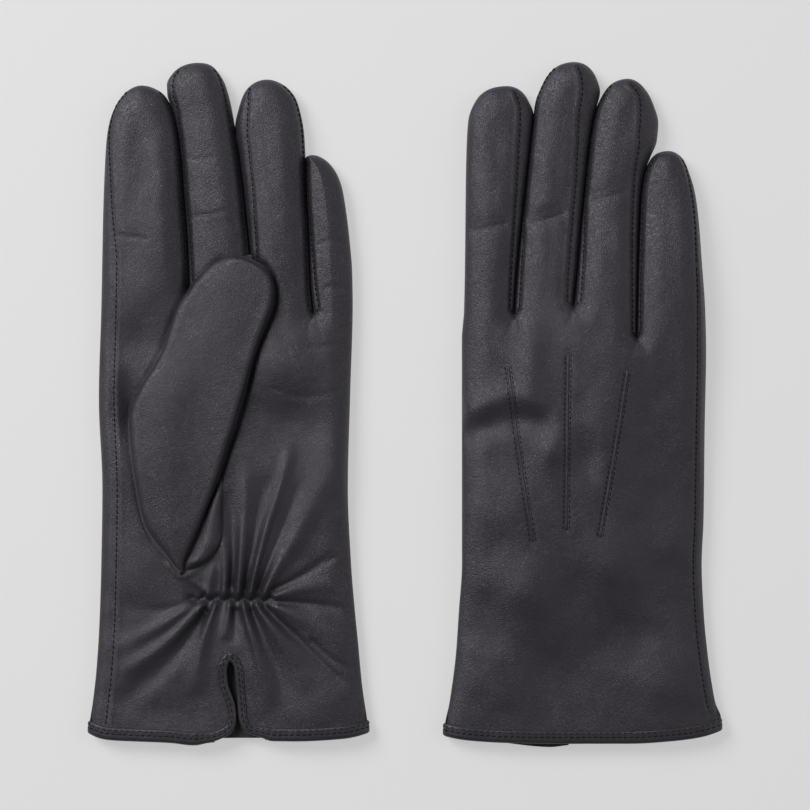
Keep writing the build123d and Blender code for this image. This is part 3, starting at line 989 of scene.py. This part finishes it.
def new_shader(name, settings):
    """A new material with its shader's settings: the material, its nodes and its shader."""
    material = bpy.data.materials.new(name)
    material.use_nodes = True
    tree = material.node_tree
    shader = tree.nodes["Principled BSDF"]
    for key, value in settings.items():
        shader.inputs[key].default_value = value
    return material, tree, shader


def own_place(tree):
    """Coordinates that stay with the leather when its piece moves."""
    return node(tree, "ShaderNodeTexCoord").outputs["Object"]


def texture(tree, kind, where, **values):
    """A texture laid at some coordinates."""
    made = node(tree, kind, **values)
    tree.links.new(where, made.inputs["Vector"])
    return made


def noise(tree, where, scale, detail, roughness=0.5):
    """The value of a noise texture."""
    made = texture(tree, "ShaderNodeTexNoise", where, Scale=scale, Detail=detail, Roughness=roughness)
    return made.outputs["Fac"]


def remapped(tree, value, source, target):
    """A value whose source range is stretched to a target range."""
    ends = dict(zip(("From Min", "From Max", "To Min", "To Max"), source + target))
    made = node(tree, "ShaderNodeMapRange", **ends)
    tree.links.new(value, made.inputs["Value"])
    return made.outputs["Result"]


def two_tone(tree, factor, dark, light):
    """A colour that a texture mixes from a dark one and a light one."""
    tone = node(tree, "ShaderNodeMix", data_type="RGBA")
    tone.inputs[MIX_DARK].default_value = (*dark, 1)
    tone.inputs[MIX_LIGHT].default_value = (*light, 1)
    tree.links.new(factor, tone.inputs[MIX_FACTOR])
    return tone.outputs[MIX_RESULT]


def bumps(tree, shader, layers):
    """Relief made of layers, each with a texture's height, a strength and a depth in metres."""
    last = None
    for height, strength, depth in layers:
        bump = node(tree, "ShaderNodeBump", Strength=strength, Distance=depth)
        tree.links.new(height, bump.inputs["Height"])
        if last is not None:
            tree.links.new(last.outputs["Normal"], bump.inputs["Normal"])
        last = bump
    tree.links.new(last.outputs["Normal"], shader.inputs["Normal"])


def tinted(colour, share):
    return [value * share for value in colour]


def leather_material(name, colour, roughness, grain=0.5):
    """Fine-grained gloving leather: pores, small creases, uneven tone and soft polish."""
    material, tree, shader = new_shader(name, {
        "Specular IOR Level": 0.53, "Specular Tint": (0.99, 0.94, 1.0, 1),
        "Sheen Weight": 0.04, "Sheen Roughness": 0.4,
    })
    stretch = texture(tree, "ShaderNodeMapping", own_place(tree), Scale=(1.0, 1.25, 1.0)).outputs["Vector"]
    pores = texture(tree, "ShaderNodeTexVoronoi", stretch, Scale=1700.0, feature="DISTANCE_TO_EDGE")
    pores = pores.outputs["Distance"]
    noises = ((1500.0, 3.0, 0.6), (420.0, 4.0, 0.6), (42.0, 2.0, 0.5))
    grit, wrinkles, cloud = (noise(tree, stretch, *settings) for settings in noises)

    fleck = remapped(tree, grit, (0.3, 0.7), (0.7, 1.3))
    scaled = node(tree, "ShaderNodeVectorMath", operation="SCALE")
    tree.links.new(two_tone(tree, cloud, tinted(colour, 0.72), tinted(colour, 1.32)), scaled.inputs[0])
    tree.links.new(fleck, scaled.inputs["Scale"])
    tree.links.new(scaled.outputs[0], shader.inputs["Base Color"])
    polish = remapped(tree, wrinkles, (0.3, 0.7), (roughness - 0.07, roughness + 0.07))
    tree.links.new(polish, shader.inputs["Roughness"])

    patchy = node(tree, "ShaderNodeMath", operation="MULTIPLY")
    tree.links.new(wrinkles, patchy.inputs[0])
    tree.links.new(remapped(tree, cloud, (0.42, 0.66), (0.25, 1.0)), patchy.inputs[1])
    layers = ((pores, 0.00042), (grit, 0.00024), (patchy.outputs["Value"], 0.00032), (cloud, 0.0010))
    bumps(tree, shader, [(height, grain, depth) for height, depth in layers])
    return material


def cloth_material(name, colour, roughness, scale):
    """Brushed knit for the lining, or a woven band for the elastic."""
    material, tree, shader = new_shader(name, {"Roughness": roughness, "Sheen Weight": 0.35})
    where = own_place(tree)
    ribs = texture(tree, "ShaderNodeTexWave", where, Scale=scale, Distortion=1.5, Detail=2.0).outputs["Fac"]
    fluff = noise(tree, where, scale * 2, 4.0)
    tone = two_tone(tree, ribs, tinted(colour, 0.6), tinted(colour, 1.4))
    tree.links.new(tone, shader.inputs["Base Color"])
    bumps(tree, shader, ((ribs, 0.6, 0.0003), (fluff, 0.5, 0.0003)))
    return material


def thread_material():
    """Black twisted sewing thread."""
    material, tree, shader = new_shader("thread", {"Roughness": 0.8, "Specular IOR Level": 0.2})
    twist = texture(tree, "ShaderNodeTexWave", own_place(tree), Scale=900.0, Distortion=0.4).outputs["Fac"]
    tone = two_tone(tree, twist, (0.0015, 0.0015, 0.0018), (0.005, 0.005, 0.0055))
    tree.links.new(tone, shader.inputs["Base Color"])
    bumps(tree, shader, ((twist, 0.6, 0.0001),))
    return material


SKIN = leather_material("glove_leather", (0.0098, 0.0086, 0.0128), 0.46)
EDGE_SKIN = leather_material("binding_leather", (0.0098, 0.0088, 0.0122), 0.42, 0.35)
LINING_CLOTH = cloth_material("knit_lining", (0.020, 0.019, 0.021), 0.95, 700.0)
ELASTIC = cloth_material("elastic_band", (0.016, 0.016, 0.017), 0.8, 900.0)
THREAD = thread_material()


# The leather of a glove

def add_piece(glove, obj, part=None, stands_for=None):
    """Hides the node that a piece stands for, and puts the piece on the hand's body when it has no part.

    A piece of a finger or thumb only has its place baked into its mesh. Everything else rides on the hand.
    """
    hand = f"{glove.hand}_hand"
    if stands_for is not None:
        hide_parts(stands_for)
    if part is None:
        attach(obj, hand)
        return
    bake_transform(obj)


def panel_labels(glove, marks, patches):
    """For each cell: which panel it belongs to and whether it is on a finger."""
    strip, last = STRIP_CELLS, 2 * STRIP_CELLS + MIDDLE_CELLS
    labels = []
    feet = glove.feet()
    for patch, row, column in marks.tolist():
        face, name = patches[patch]
        number = FINGERS.index(name)
        side = 0 if column < strip else 1 if column >= last - strip else None
        y = glove.rows[name][row]
        part = name if row >= glove.split_row(name) else None
        panel = face
        if side is not None and glove.is_wrap(face, name, side):
            panel = "back" if face == "palm" else "palm"
        elif side == 0 and number > 0 and y >= feet[number - 1] - 1e-6:
            panel = "fourchette_" + SLOTS[number - 1]
        elif side == 1 and number < 3 and y >= feet[number] - 1e-6:
            panel = "fourchette_" + SLOTS[number]
        if part is not None and panel.startswith("fourchette"):
            panel = "fourchettes"
        labels.append((panel, part))
    return labels


def piece_name(glove, panel, part):
    """The node that a panel's mesh stands for."""
    if part is not None:
        return f"{glove.hand}_{part}_{panel}"
    if panel.startswith("fourchette_"):
        return f"{glove.hand}_{panel[11:]}_fourchette"
    return f"{glove.hand}_{panel}_panel"


def in_polygon(x, y, polygon):
    """Whether each point lies inside a closed outline."""
    polygon = np.asarray(polygon)
    inside = np.zeros(np.shape(x), bool)
    for (x0, y0), (x1, y1) in zip(polygon, np.roll(polygon, -1, axis=0)):
        crosses = (y0 > y) != (y1 > y)
        slope = (x1 - x0) / (y1 - y0) if y1 != y0 else 0.0
        inside ^= crosses & (x < x0 + (y - y0) * slope)
    return inside


def vent_line(glove):
    """The vent's edge as a smooth line in plan, which leaves the hem and comes back to it."""
    line = rounded(VENT_EDGE, 0.6)
    hem = glove.hem_y("palm", line[:, 0])
    near_hem = 1 - ease(line[:, 1] / 5.0)
    line[:, 1] += hem * near_hem
    return line


def vent_cut(glove):
    """The outline of the leather that is cut away for the vent, under the binding."""
    line = vent_line(glove)
    along = np.gradient(line, axis=0)
    along /= np.linalg.norm(along, axis=1, keepdims=True)
    line = line + VENT_LAP * np.stack([-along[:, 1], along[:, 0]], axis=1)
    return np.concatenate([[[line[0, 0], BELOW_HEM]], line, [[line[-1, 0], BELOW_HEM]]])


def glove_leather(glove):
    """Every leather panel and fourchette of a glove's hand and fingers."""
    patches = glove.patches
    grids = [(grid, face != glove.upper) for grid, (face, _) in zip(glove.grids, patches)]
    points, cells, marks = welded(grids)
    normals = vertex_normals(points, cells)
    labels = panel_labels(glove, marks, patches)
    middle = points[cells].mean(axis=1)
    palm_side = np.array([patches[patch][0] == "palm" for patch in marks[:, 0]])
    open_vent = palm_side & in_polygon(middle[:, 0], middle[:, 1], vent_cut(glove))
    groups = {}
    for index, label in enumerate(labels):
        if not open_vent[index]:
            groups.setdefault(label, []).append(index)
    placed = glove.place(points)
    for (panel, part), chosen in groups.items():
        name = piece_name(glove, panel, part)
        obj = leather_piece(f"{name}_leather", placed, normals, cells[chosen], SKIN)
        add_piece(glove, obj, part, name)


# Bindings round the hem and the vent

HEM_PITCH = 0.9
# How far in from the glove's sides the hem's points are close together
SIDE_TURN = 8.0
# Over how many of the vent's first and last points the binding turns upright and gets as wide as the hem's
TURN_POINTS = 8
NARROW_POINTS = 14
# The binding's section: height above the leather, and share of its width in from the edge
BAND_PROFILE = (
    (0.1, 1.06), (0.55, 1.0), (0.66, 0.8), (0.5, 0.56), (0.66, 0.3), (0.52, 0.06), (0.0, -0.06),
    (-0.6, 0.0), (-1.2, 0.1), (-1.4, 0.35), (-1.4, 0.95),
)


def hem_run(glove, face, start, end):
    """Points of a face's hem from one place across it to another, close together at the glove's sides."""
    left, right = glove.hem_ends()
    x = np.arange(start, end, HEM_PITCH if start < end else -HEM_PITCH)
    turn = SIDE_TURN * (1 - np.cos(np.linspace(0, math.pi / 2, 9)))
    for edge, inwards in ((left, 1), (right, -1)):
        if abs(start - edge) < SIDE_TURN:
            x = np.concatenate([edge + inwards * turn, x[np.abs(x - edge) > SIDE_TURN + 0.2]])
        if abs(end - edge) < SIDE_TURN:
            x = np.concatenate([x[np.abs(x - edge) > SIDE_TURN + 0.2], (edge + inwards * turn)[::-1]])
    d = np.minimum(x - left, right - x)
    y = glove.hem_y(face, x)
    return np.stack([x, y, glove.surface(face, x, y, d)], axis=1)


def smoothed(values, times):
    """A closed line's values averaged with their neighbours."""
    for _ in range(times):
        values = (np.roll(values, 1, axis=0) + 2 * values + np.roll(values, -1, axis=0)) / 4
    return values


def unit(vectors):
    return vectors / np.maximum(np.linalg.norm(vectors, axis=-1, keepdims=True), 1e-9)


class Edge:
    """The whole bound edge of a glove: the vent, then the hem round to where the vent began."""

    def __init__(self, glove):
        sign = 1.0 if glove.upper == "palm" else -1.0
        left, right = glove.hem_ends()
        line = vent_line(glove)
        vent, vent_normals = glove.skin("palm", line[:, 0], line[:, 1])
        far = hem_run(glove, "palm", line[-1, 0], right)[1:]
        back = hem_run(glove, "back", right, left)[1:]
        near = hem_run(glove, "palm", left, line[0, 0])[1:-1]
        hem = np.concatenate([far, back, near])
        self.points = smoothed(np.concatenate([vent, hem]), 2)
        self.vent_count = len(vent)
        along = unit(np.roll(self.points, -1, axis=0) - np.roll(self.points, 1, axis=0))
        round_hem = sign * unit(np.cross(along, (0.0, 1.0, 0.0)))
        count = len(self.points)
        place = np.arange(count)
        in_vent = ease(place / TURN_POINTS) * ease((self.vent_count - 1 - place) / TURN_POINTS)
        flat = np.zeros((count, 3))
        flat[:self.vent_count] = vent_normals
        normals = round_hem * (1 - in_vent[:, None]) + flat * in_vent[:, None]
        normals = unit(normals - along * np.sum(normals * along, axis=1, keepdims=True))
        self.normals = unit(smoothed(normals, 4))
        self.inwards = unit(smoothed(sign * np.cross(self.normals, along), 3))
        width = np.full(count, HEM_BAND)
        narrow = ease(place / NARROW_POINTS) * ease((self.vent_count - 1 - place) / NARROW_POINTS)
        width[:self.vent_count] -= (HEM_BAND - VENT_BAND) * narrow[:self.vent_count]
        self.width = width

    def across(self, share, above):
        """A line along the binding, part of the way in from its edge."""
        return self.points + self.normals * above + self.inwards * (self.width * share)[:, None]


def band_mesh(edge, chosen):
    """The binding over a run of the edge, with closed ends: points, outward directions and faces."""
    rings = np.stack([edge.across(share, above) for above, share in BAND_PROFILE], axis=1)
    rings[:, :, 2] = np.maximum(rings[:, :, 2], BAND_CLEAR)
    along = np.roll(rings, -1, axis=0) - np.roll(rings, 1, axis=0)
    around = np.roll(rings, -1, axis=1) - np.roll(rings, 1, axis=1)
    outwards = unit(np.cross(along, around))
    if np.sum(outwards[:, 2] * edge.normals) < 0:
        outwards = -outwards
    verts = rings[chosen].reshape(-1, 3)
    faces = oriented(verts, tube_faces(len(chosen), len(BAND_PROFILE)))
    return verts, outwards[chosen].reshape(-1, 3), faces


def bindings(glove):
    """The hem binding, the vent binding and their two rows of stitches."""
    edge = Edge(glove)
    count = len(edge.points)
    vent = np.arange(0, edge.vent_count)
    hem = np.arange(edge.vent_count - 1, count + 1) % count
    for node_name, chosen in (("vent_binding", vent), ("hem_binding", hem)):
        name = f"{glove.hand}_{node_name}"
        verts, outwards, faces = band_mesh(edge, chosen)
        obj = mesh_object(f"{name}_leather", glove.place(verts), faces, EDGE_SKIN, outwards)
        add_piece(glove, obj, None, name)
        rows = []
        for share in (0.86, 0.5):
            line = glove.place(edge.across(share, 0.5)[chosen])
            rows.append((line, edge.normals[chosen], BINDING_PITCH, STITCH_LENGTH))
        stitches = stitch_mesh(f"{name}_stitches", rows, THREAD)
        add_piece(glove, stitches)


def oriented(verts, faces):
    """The faces of a closed shape, turned over if they point inwards."""
    volume = 0.0
    for face in faces:
        a = verts[face[0]]
        for i in range(1, len(face) - 1):
            volume += np.dot(a, np.cross(verts[face[i]], verts[face[i + 1]]))
    return faces if volume > 0 else [list(reversed(face)) for face in faces]


# The thumb

def turn_thumb(glove, x, y):
    """Plan points of the thumb as drawn, turned to where this glove's thumb lies."""
    angle = math.radians(THUMB_TURN[glove.hand])
    px, py = THUMB_PIVOT
    cos, sin = math.cos(angle), math.sin(angle)
    return px + (x - px) * cos - (y - py) * sin, py + (x - px) * sin + (y - py) * cos


def thumb_edge_x(points, y):
    """Where an edge of the thumb lies, rounded at the foot and at the tip."""
    points = np.array((THUMB_FOOT, *points, THUMB_APEX), float)
    low, top = points[0, 1], points[-1, 1]

    def spread(height):
        share = np.clip((height - low) / (top - low), 0, 1)
        return np.arccos(1 - 2 * share)

    return np.round(smooth(spread(points[:, 1]), points[:, 0], spread(y)), 4)


def thumb_rows(count):
    low, top = THUMB_FOOT[1], THUMB_APEX[1]
    return np.round(low + (top - low) * (1 - np.cos(np.linspace(0, math.pi, count))) / 2, 4)


def thumb_heights(glove, x, y, across, d, upper):
    """Heights of the thumb's outer or under side, from each point's share across it and distance in."""
    palm = glove.surface("palm", *turn_thumb(glove, x, y))
    if glove.hand == "right":
        rim = palm / 2
        rise = quarter_round(d / FLAT_RADIUS)
        top = rim + (palm - FLAT_GAP - rim) * rise
        if not upper:
            return top
        below, start, run = FLAT_FOOT
        foot = (1 - ease((y - start) / run)) * (palm - below)
        return np.minimum(np.maximum(rim - rim * rise + BAND_CLEAR, foot), top - FLAT_WALLS * rise)
    base = np.interp(y, *zip(*HEIGHTS))
    outer_rim, fold_rim = palm + growing(y, *OUTER_RIM), palm + growing(y, *FOLD_RIM)
    rim = outer_rim + (fold_rim - outer_rim) * ease(across)
    soft = ripple(x, y, 29, 46, 0.5) * ease(d / 6)
    crown = base + smooth(*zip(*THUMB_CROWN), y) + soft
    crown -= THUMB_TILT * ease((0.5 - across) / 0.5)
    for centre, size, height in THUMB_SWELLS:
        crown += hollow(x, y, centre, size, height)
    outer_radius, fold_radius = THUMB_RADII
    radius = outer_radius + (fold_radius - outer_radius) * ease(across * 1.2 - 0.1)
    rise = quarter_round(d / radius)
    if upper:
        return rim + (crown - rim) * rise
    under = rim - (rim - palm - growing(y, *UNDER_SIDE)) * quarter_round(d / UNDER_RADIUS)
    return np.minimum(under, rim + (crown - rim) * rise - THUMB_WALLS * rise)


def thumb_grids(glove, rows, columns):
    """The two sides of the thumb as grids that meet along its outline."""
    y = thumb_rows(rows)
    left, right = thumb_edge_x(THUMB_OUTER, y), thumb_edge_x(THUMB_FOLD, y)
    share = (1 - np.cos(np.linspace(0, math.pi, columns))) / 2
    x = np.round(left[:, None] + (right - left)[:, None] * share, 4)
    y = np.repeat(y[:, None], columns, axis=1)
    across = np.repeat(share[None, :], rows, axis=0)
    plan = np.stack([x, y], axis=2)
    d, _ = from_line(x, y, np.concatenate([plan[:, 0], plan[::-1, -1]]))
    d[:, 0] = d[:, -1] = d[0] = d[-1] = 0
    real_x, real_y = turn_thumb(glove, x, y)
    grids = []
    for upper in (True, False):
        z = thumb_heights(glove, x, y, across, d, upper)
        grids.append((np.stack([real_x, real_y, z], axis=2), upper != (glove.upper == "palm")))
    return grids


def gusset_grid(glove):
    """The leaf of thumb leather between the folded edge and the palm."""
    edge = rounded(GUSSET_EDGE, 1.0)
    y = edge[:, 1]
    inner = thumb_edge_x(THUMB_FOLD, y) - GUSSET_TUCK
    share = np.linspace(0, 1, 11)
    x = inner[:, None] + (edge[:, 0] - inner)[:, None] * share
    y = np.repeat(y[:, None], len(share), axis=1)
    share = np.repeat(share[None, :], len(x), axis=0)
    end = ease((y - GUSSET_ENDS[0]) / 5) * ease((GUSSET_ENDS[1] - y) / 14)
    palm = glove.surface("palm", x, y)
    rise = GUSSET_RISE * np.sqrt(np.clip(1 - ((share - 0.68) / 0.34) ** 2, 0, 1)) * end
    low = 0.9 * ease(share / 0.3)
    return np.stack([x, y, palm - 0.2 + np.maximum(rise, low * end)], axis=2)


def thumb(glove):
    """The thumb's leather and its lining, laid where this glove's thumb lies, turned about the foot of the
    thumb.
    """
    points, cells, _ = welded(thumb_grids(glove, 128, 44))
    normals = vertex_normals(points, cells)
    if glove.hand == "left":
        extra, extra_cells, _ = welded([(gusset_grid(glove), False)])
        normals = np.concatenate([normals, vertex_normals(extra, extra_cells)])
        cells = np.concatenate([cells, extra_cells + len(points)])
        points = np.concatenate([points, extra])
    name = f"{glove.hand}_thumb"
    leather = leather_piece(f"{name}_skin", glove.place(points), normals, cells, SKIN)
    add_piece(glove, leather, "thumb", f"{name}_leather")
    points, cells, _ = welded(thumb_grids(glove, 40, 16))
    normals = vertex_normals(points, cells)
    inner = glove.place(points) - THUMB_LINING_INSET * normals
    lining = leather_piece(f"{name}_knit", inner, normals, cells, LINING_CLOTH, KNIT)
    add_piece(glove, lining, "thumb", f"{name}_lining")


# Linings and the wrist elastic

def coarse(count, step, kept=()):
    """Every few row or column numbers, with the last one and any that must stay."""
    return np.array(sorted({*range(0, count, step), count - 1, *kept}))


def linings(glove):
    """The knitted lining: one piece in the hand and one in each finger."""
    patches = glove.patches
    grids, row_sets = [], []
    for grid, (face, name) in zip(glove.grids, patches):
        chosen = coarse(grid.shape[0], 4, (glove.shared - 1, glove.split_row(name)))
        row_sets.append(chosen)
        grids.append((grid[chosen][:, coarse(grid.shape[1], 3)], face != glove.upper))
    points, cells, marks = welded(grids)
    normals = vertex_normals(points, cells)
    inner = glove.place(points) - LINING_INSET * normals
    middle = points[cells].mean(axis=1)
    groups = {}
    cut = vent_cut(glove)
    for index, (patch, row, _) in enumerate(marks.tolist()):
        face, name = patches[patch]
        if face == "palm" and in_polygon(middle[index, 0], middle[index, 1], cut):
            continue
        on_finger = row_sets[patch][row] >= glove.split_row(name)
        groups.setdefault(name if on_finger else None, []).append(index)
    for part, chosen in groups.items():
        name = f"{glove.hand}_{part or 'hand'}_lining"
        obj = leather_piece(f"{name}_knit", inner, normals, cells[chosen], LINING_CLOTH, KNIT)
        add_piece(glove, obj, part, name)


def wrist_elastic(glove):
    """The elastic behind the gathers, and the thread that holds it along the trough."""
    x = np.linspace(ELASTIC_ENDS[0], ELASTIC_ENDS[1], 61)
    y = ELASTIC_Y + np.linspace(-ELASTIC_HALF, ELASTIC_HALF, 7)
    x, y = np.meshgrid(x, y)
    points, normals = glove.skin("palm", x, y)
    grid = points - ELASTIC_INSET * normals
    points, cells, _ = welded([(grid, glove.upper != "palm")])
    normals = vertex_normals(points, cells)
    name = f"{glove.hand}_wrist_elastic"
    obj = leather_piece(f"{name}_band", glove.place(points), normals, cells, ELASTIC, ELASTIC_THICKNESS)
    add_piece(glove, obj, None, name)
    x = np.linspace(ELASTIC_ENDS[0] - 1.5, ELASTIC_ENDS[1] + 1.0, 60)
    line, normals = glove.skin("palm", x, trough_y(x), 0.12)
    stitches = stitch_mesh(f"{name}_stitches", [(glove.place(line), normals, 1.7, 1.3)], THREAD, 0.5)
    add_piece(glove, stitches)


# Points and seam stitches

def point_ridges(glove):
    """The three raised points on the back, as thin crowned tucks with a row of stitches on each side."""
    verts, faces, rows = [], [], []
    total = 0
    shares = np.linspace(-1, 1, 7)
    for line in POINTS:
        line = rounded(line, 1.0)
        along = unit(np.gradient(line, axis=0))
        side = np.stack([-along[:, 1], along[:, 0]], axis=1)
        end = ease(np.minimum(np.arange(len(line)), np.arange(len(line))[::-1]) / 3.0)

        def skin_beside(away, above=0.0):
            place = line + side * away
            return glove.skin("back", place[:, 0], place[:, 1], above)

        ring = []
        for share in shares:
            height = 0.04 + POINT_HEIGHT * math.sqrt(max(0.0, 1 - share * share))
            point, normal = skin_beside(POINT_HALF * share)
            ring.append(point + normal * (height * (0.25 + 0.75 * end))[:, None])
        ring.append(skin_beside(0.0, -0.5)[0])
        made = np.stack(ring, axis=1).reshape(-1, 3)
        tube = oriented(made, tube_faces(len(line), len(ring)))
        faces += [[corner + total for corner in face] for face in tube]
        verts.append(made)
        total += len(made)
        for away in (-1, 1):
            stitch_line, normals = skin_beside(away * POINT_ROWS / 2, 0.05)
            rows.append((glove.place(stitch_line), normals, 1.9, 1.25))
    name = f"{glove.hand}_back_points"
    obj = mesh_object(f"{name}_leather", glove.place(np.concatenate(verts)), faces, SKIN)
    add_piece(glove, obj, None, name)
    add_piece(glove, stitch_mesh(f"{name}_stitches", rows, THREAD, 0.36))


def seam_stitches(glove):
    """The visible stitches of every seam: one piece on the hand and one on each finger."""
    rows = {}
    for face in ("palm", "back"):
        for number, line in enumerate(glove.seams(face)):
            line = resample(line, 0.5)
            line = line[line[:, 1] > HEM_BAND + 0.5]
            names = (FINGERS[number], FINGERS[number + 1]) if number < 3 else None
            points, normals = glove.skin(face, line[:, 0], line[:, 1], 0.16)
            if names is None:
                name = "index" if face == "palm" else "little"
                owner = [name] * len(line)
            else:
                low = int(np.argmin(line[:, 1]))
                owner = [names[0]] * low + [names[1]] * (len(line) - low)
            tops = [glove.rows[name][glove.split_row(name)] for name in owner]
            owner = [name if y > top else None for name, y, top in zip(owner, line[:, 1], tops)]
            start = 0
            for i in range(1, len(owner) + 1):
                if i == len(owner) or owner[i] != owner[start]:
                    if i - start > 6:
                        run = (glove.place(points[start:i]), normals[start:i], STITCH_PITCH, STITCH_LENGTH)
                        rows.setdefault(owner[start], []).append(run)
                    start = i
    for part, runs in rows.items():
        name = f"{glove.hand}_{part or 'hand'}_seam_stitches"
        stands_for = f"{glove.hand}_side_seam_threads" if part is None else None
        add_piece(glove, stitch_mesh(name, runs, THREAD), part, stands_for)


# Stage and camera

FLOOR_SIZES = 6
FLOOR_LOOK = {
    "Base Color": (0.22, 0.22, 0.22, 1), "Emission Color": (1, 1, 1, 1), "Emission Strength": 0.475,
    "Roughness": 0.9, "Specular IOR Level": 0.1,
}
SKY_STRENGTH = 0.24
# A name, a place and a width in metres, and a power in watts
LAMPS = (("key", (-0.95, 0.8, 1.08), 0.8, 31.0), ("fill", (3.0, 0.4, 2.2), 2.4, 36.0))
# Width of the view, and how high above the table that width is measured
VIEW_WIDTH = 299.2
VIEW_HEIGHT = 4


def stage():
    """A pale floor, soft light from above and a camera that looks straight down."""
    low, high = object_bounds()
    middle = (low + high) / 2
    reach = (high - low).length * FLOOR_SIZES
    mesh = bpy.data.meshes.new("floor")
    corners = [(-reach, -reach, 0), (reach, -reach, 0), (reach, reach, 0), (-reach, reach, 0)]
    mesh.from_pydata(corners, [], [[0, 1, 2, 3]])
    mesh.materials.append(new_shader("floor", FLOOR_LOOK)[0])
    floor = new_object("floor", mesh)
    floor.location.z = -0.2 * MM
    floor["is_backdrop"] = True

    world = bpy.data.worlds.new("studio")
    world.use_nodes = True
    background = world.node_tree.nodes["Background"]
    background.inputs["Color"].default_value = (1, 1, 1, 1)
    background.inputs["Strength"].default_value = SKY_STRENGTH
    bpy.context.scene.world = world

    for name, place, width, power in LAMPS:
        light = bpy.data.lights.new(name, "AREA")
        light.size = width
        light.energy = power
        lamp = new_object(name, light)
        lamp.location = place
        lamp.rotation_euler = (middle - lamp.location).to_track_quat("-Z", "Y").to_euler()

    lens = bpy.data.cameras.new("camera")
    lens.lens = 120.0
    lens.sensor_width = 36.0
    lens.clip_start = 0.05
    camera = new_object("camera", lens)
    camera.location = (0, 0, VIEW_WIDTH * MM * lens.lens / lens.sensor_width + VIEW_HEIGHT * MM)
    bpy.context.scene.camera = camera
    bpy.context.scene.view_settings.view_transform = "Standard"


# Making

gloves = [Glove(hand) for hand in PLANS]
stage()
for glove in gloves:
    glove_leather(glove)
    linings(glove)
    wrist_elastic(glove)
    thumb(glove)
    bindings(glove)
    point_ridges(glove)
    seam_stitches(glove)
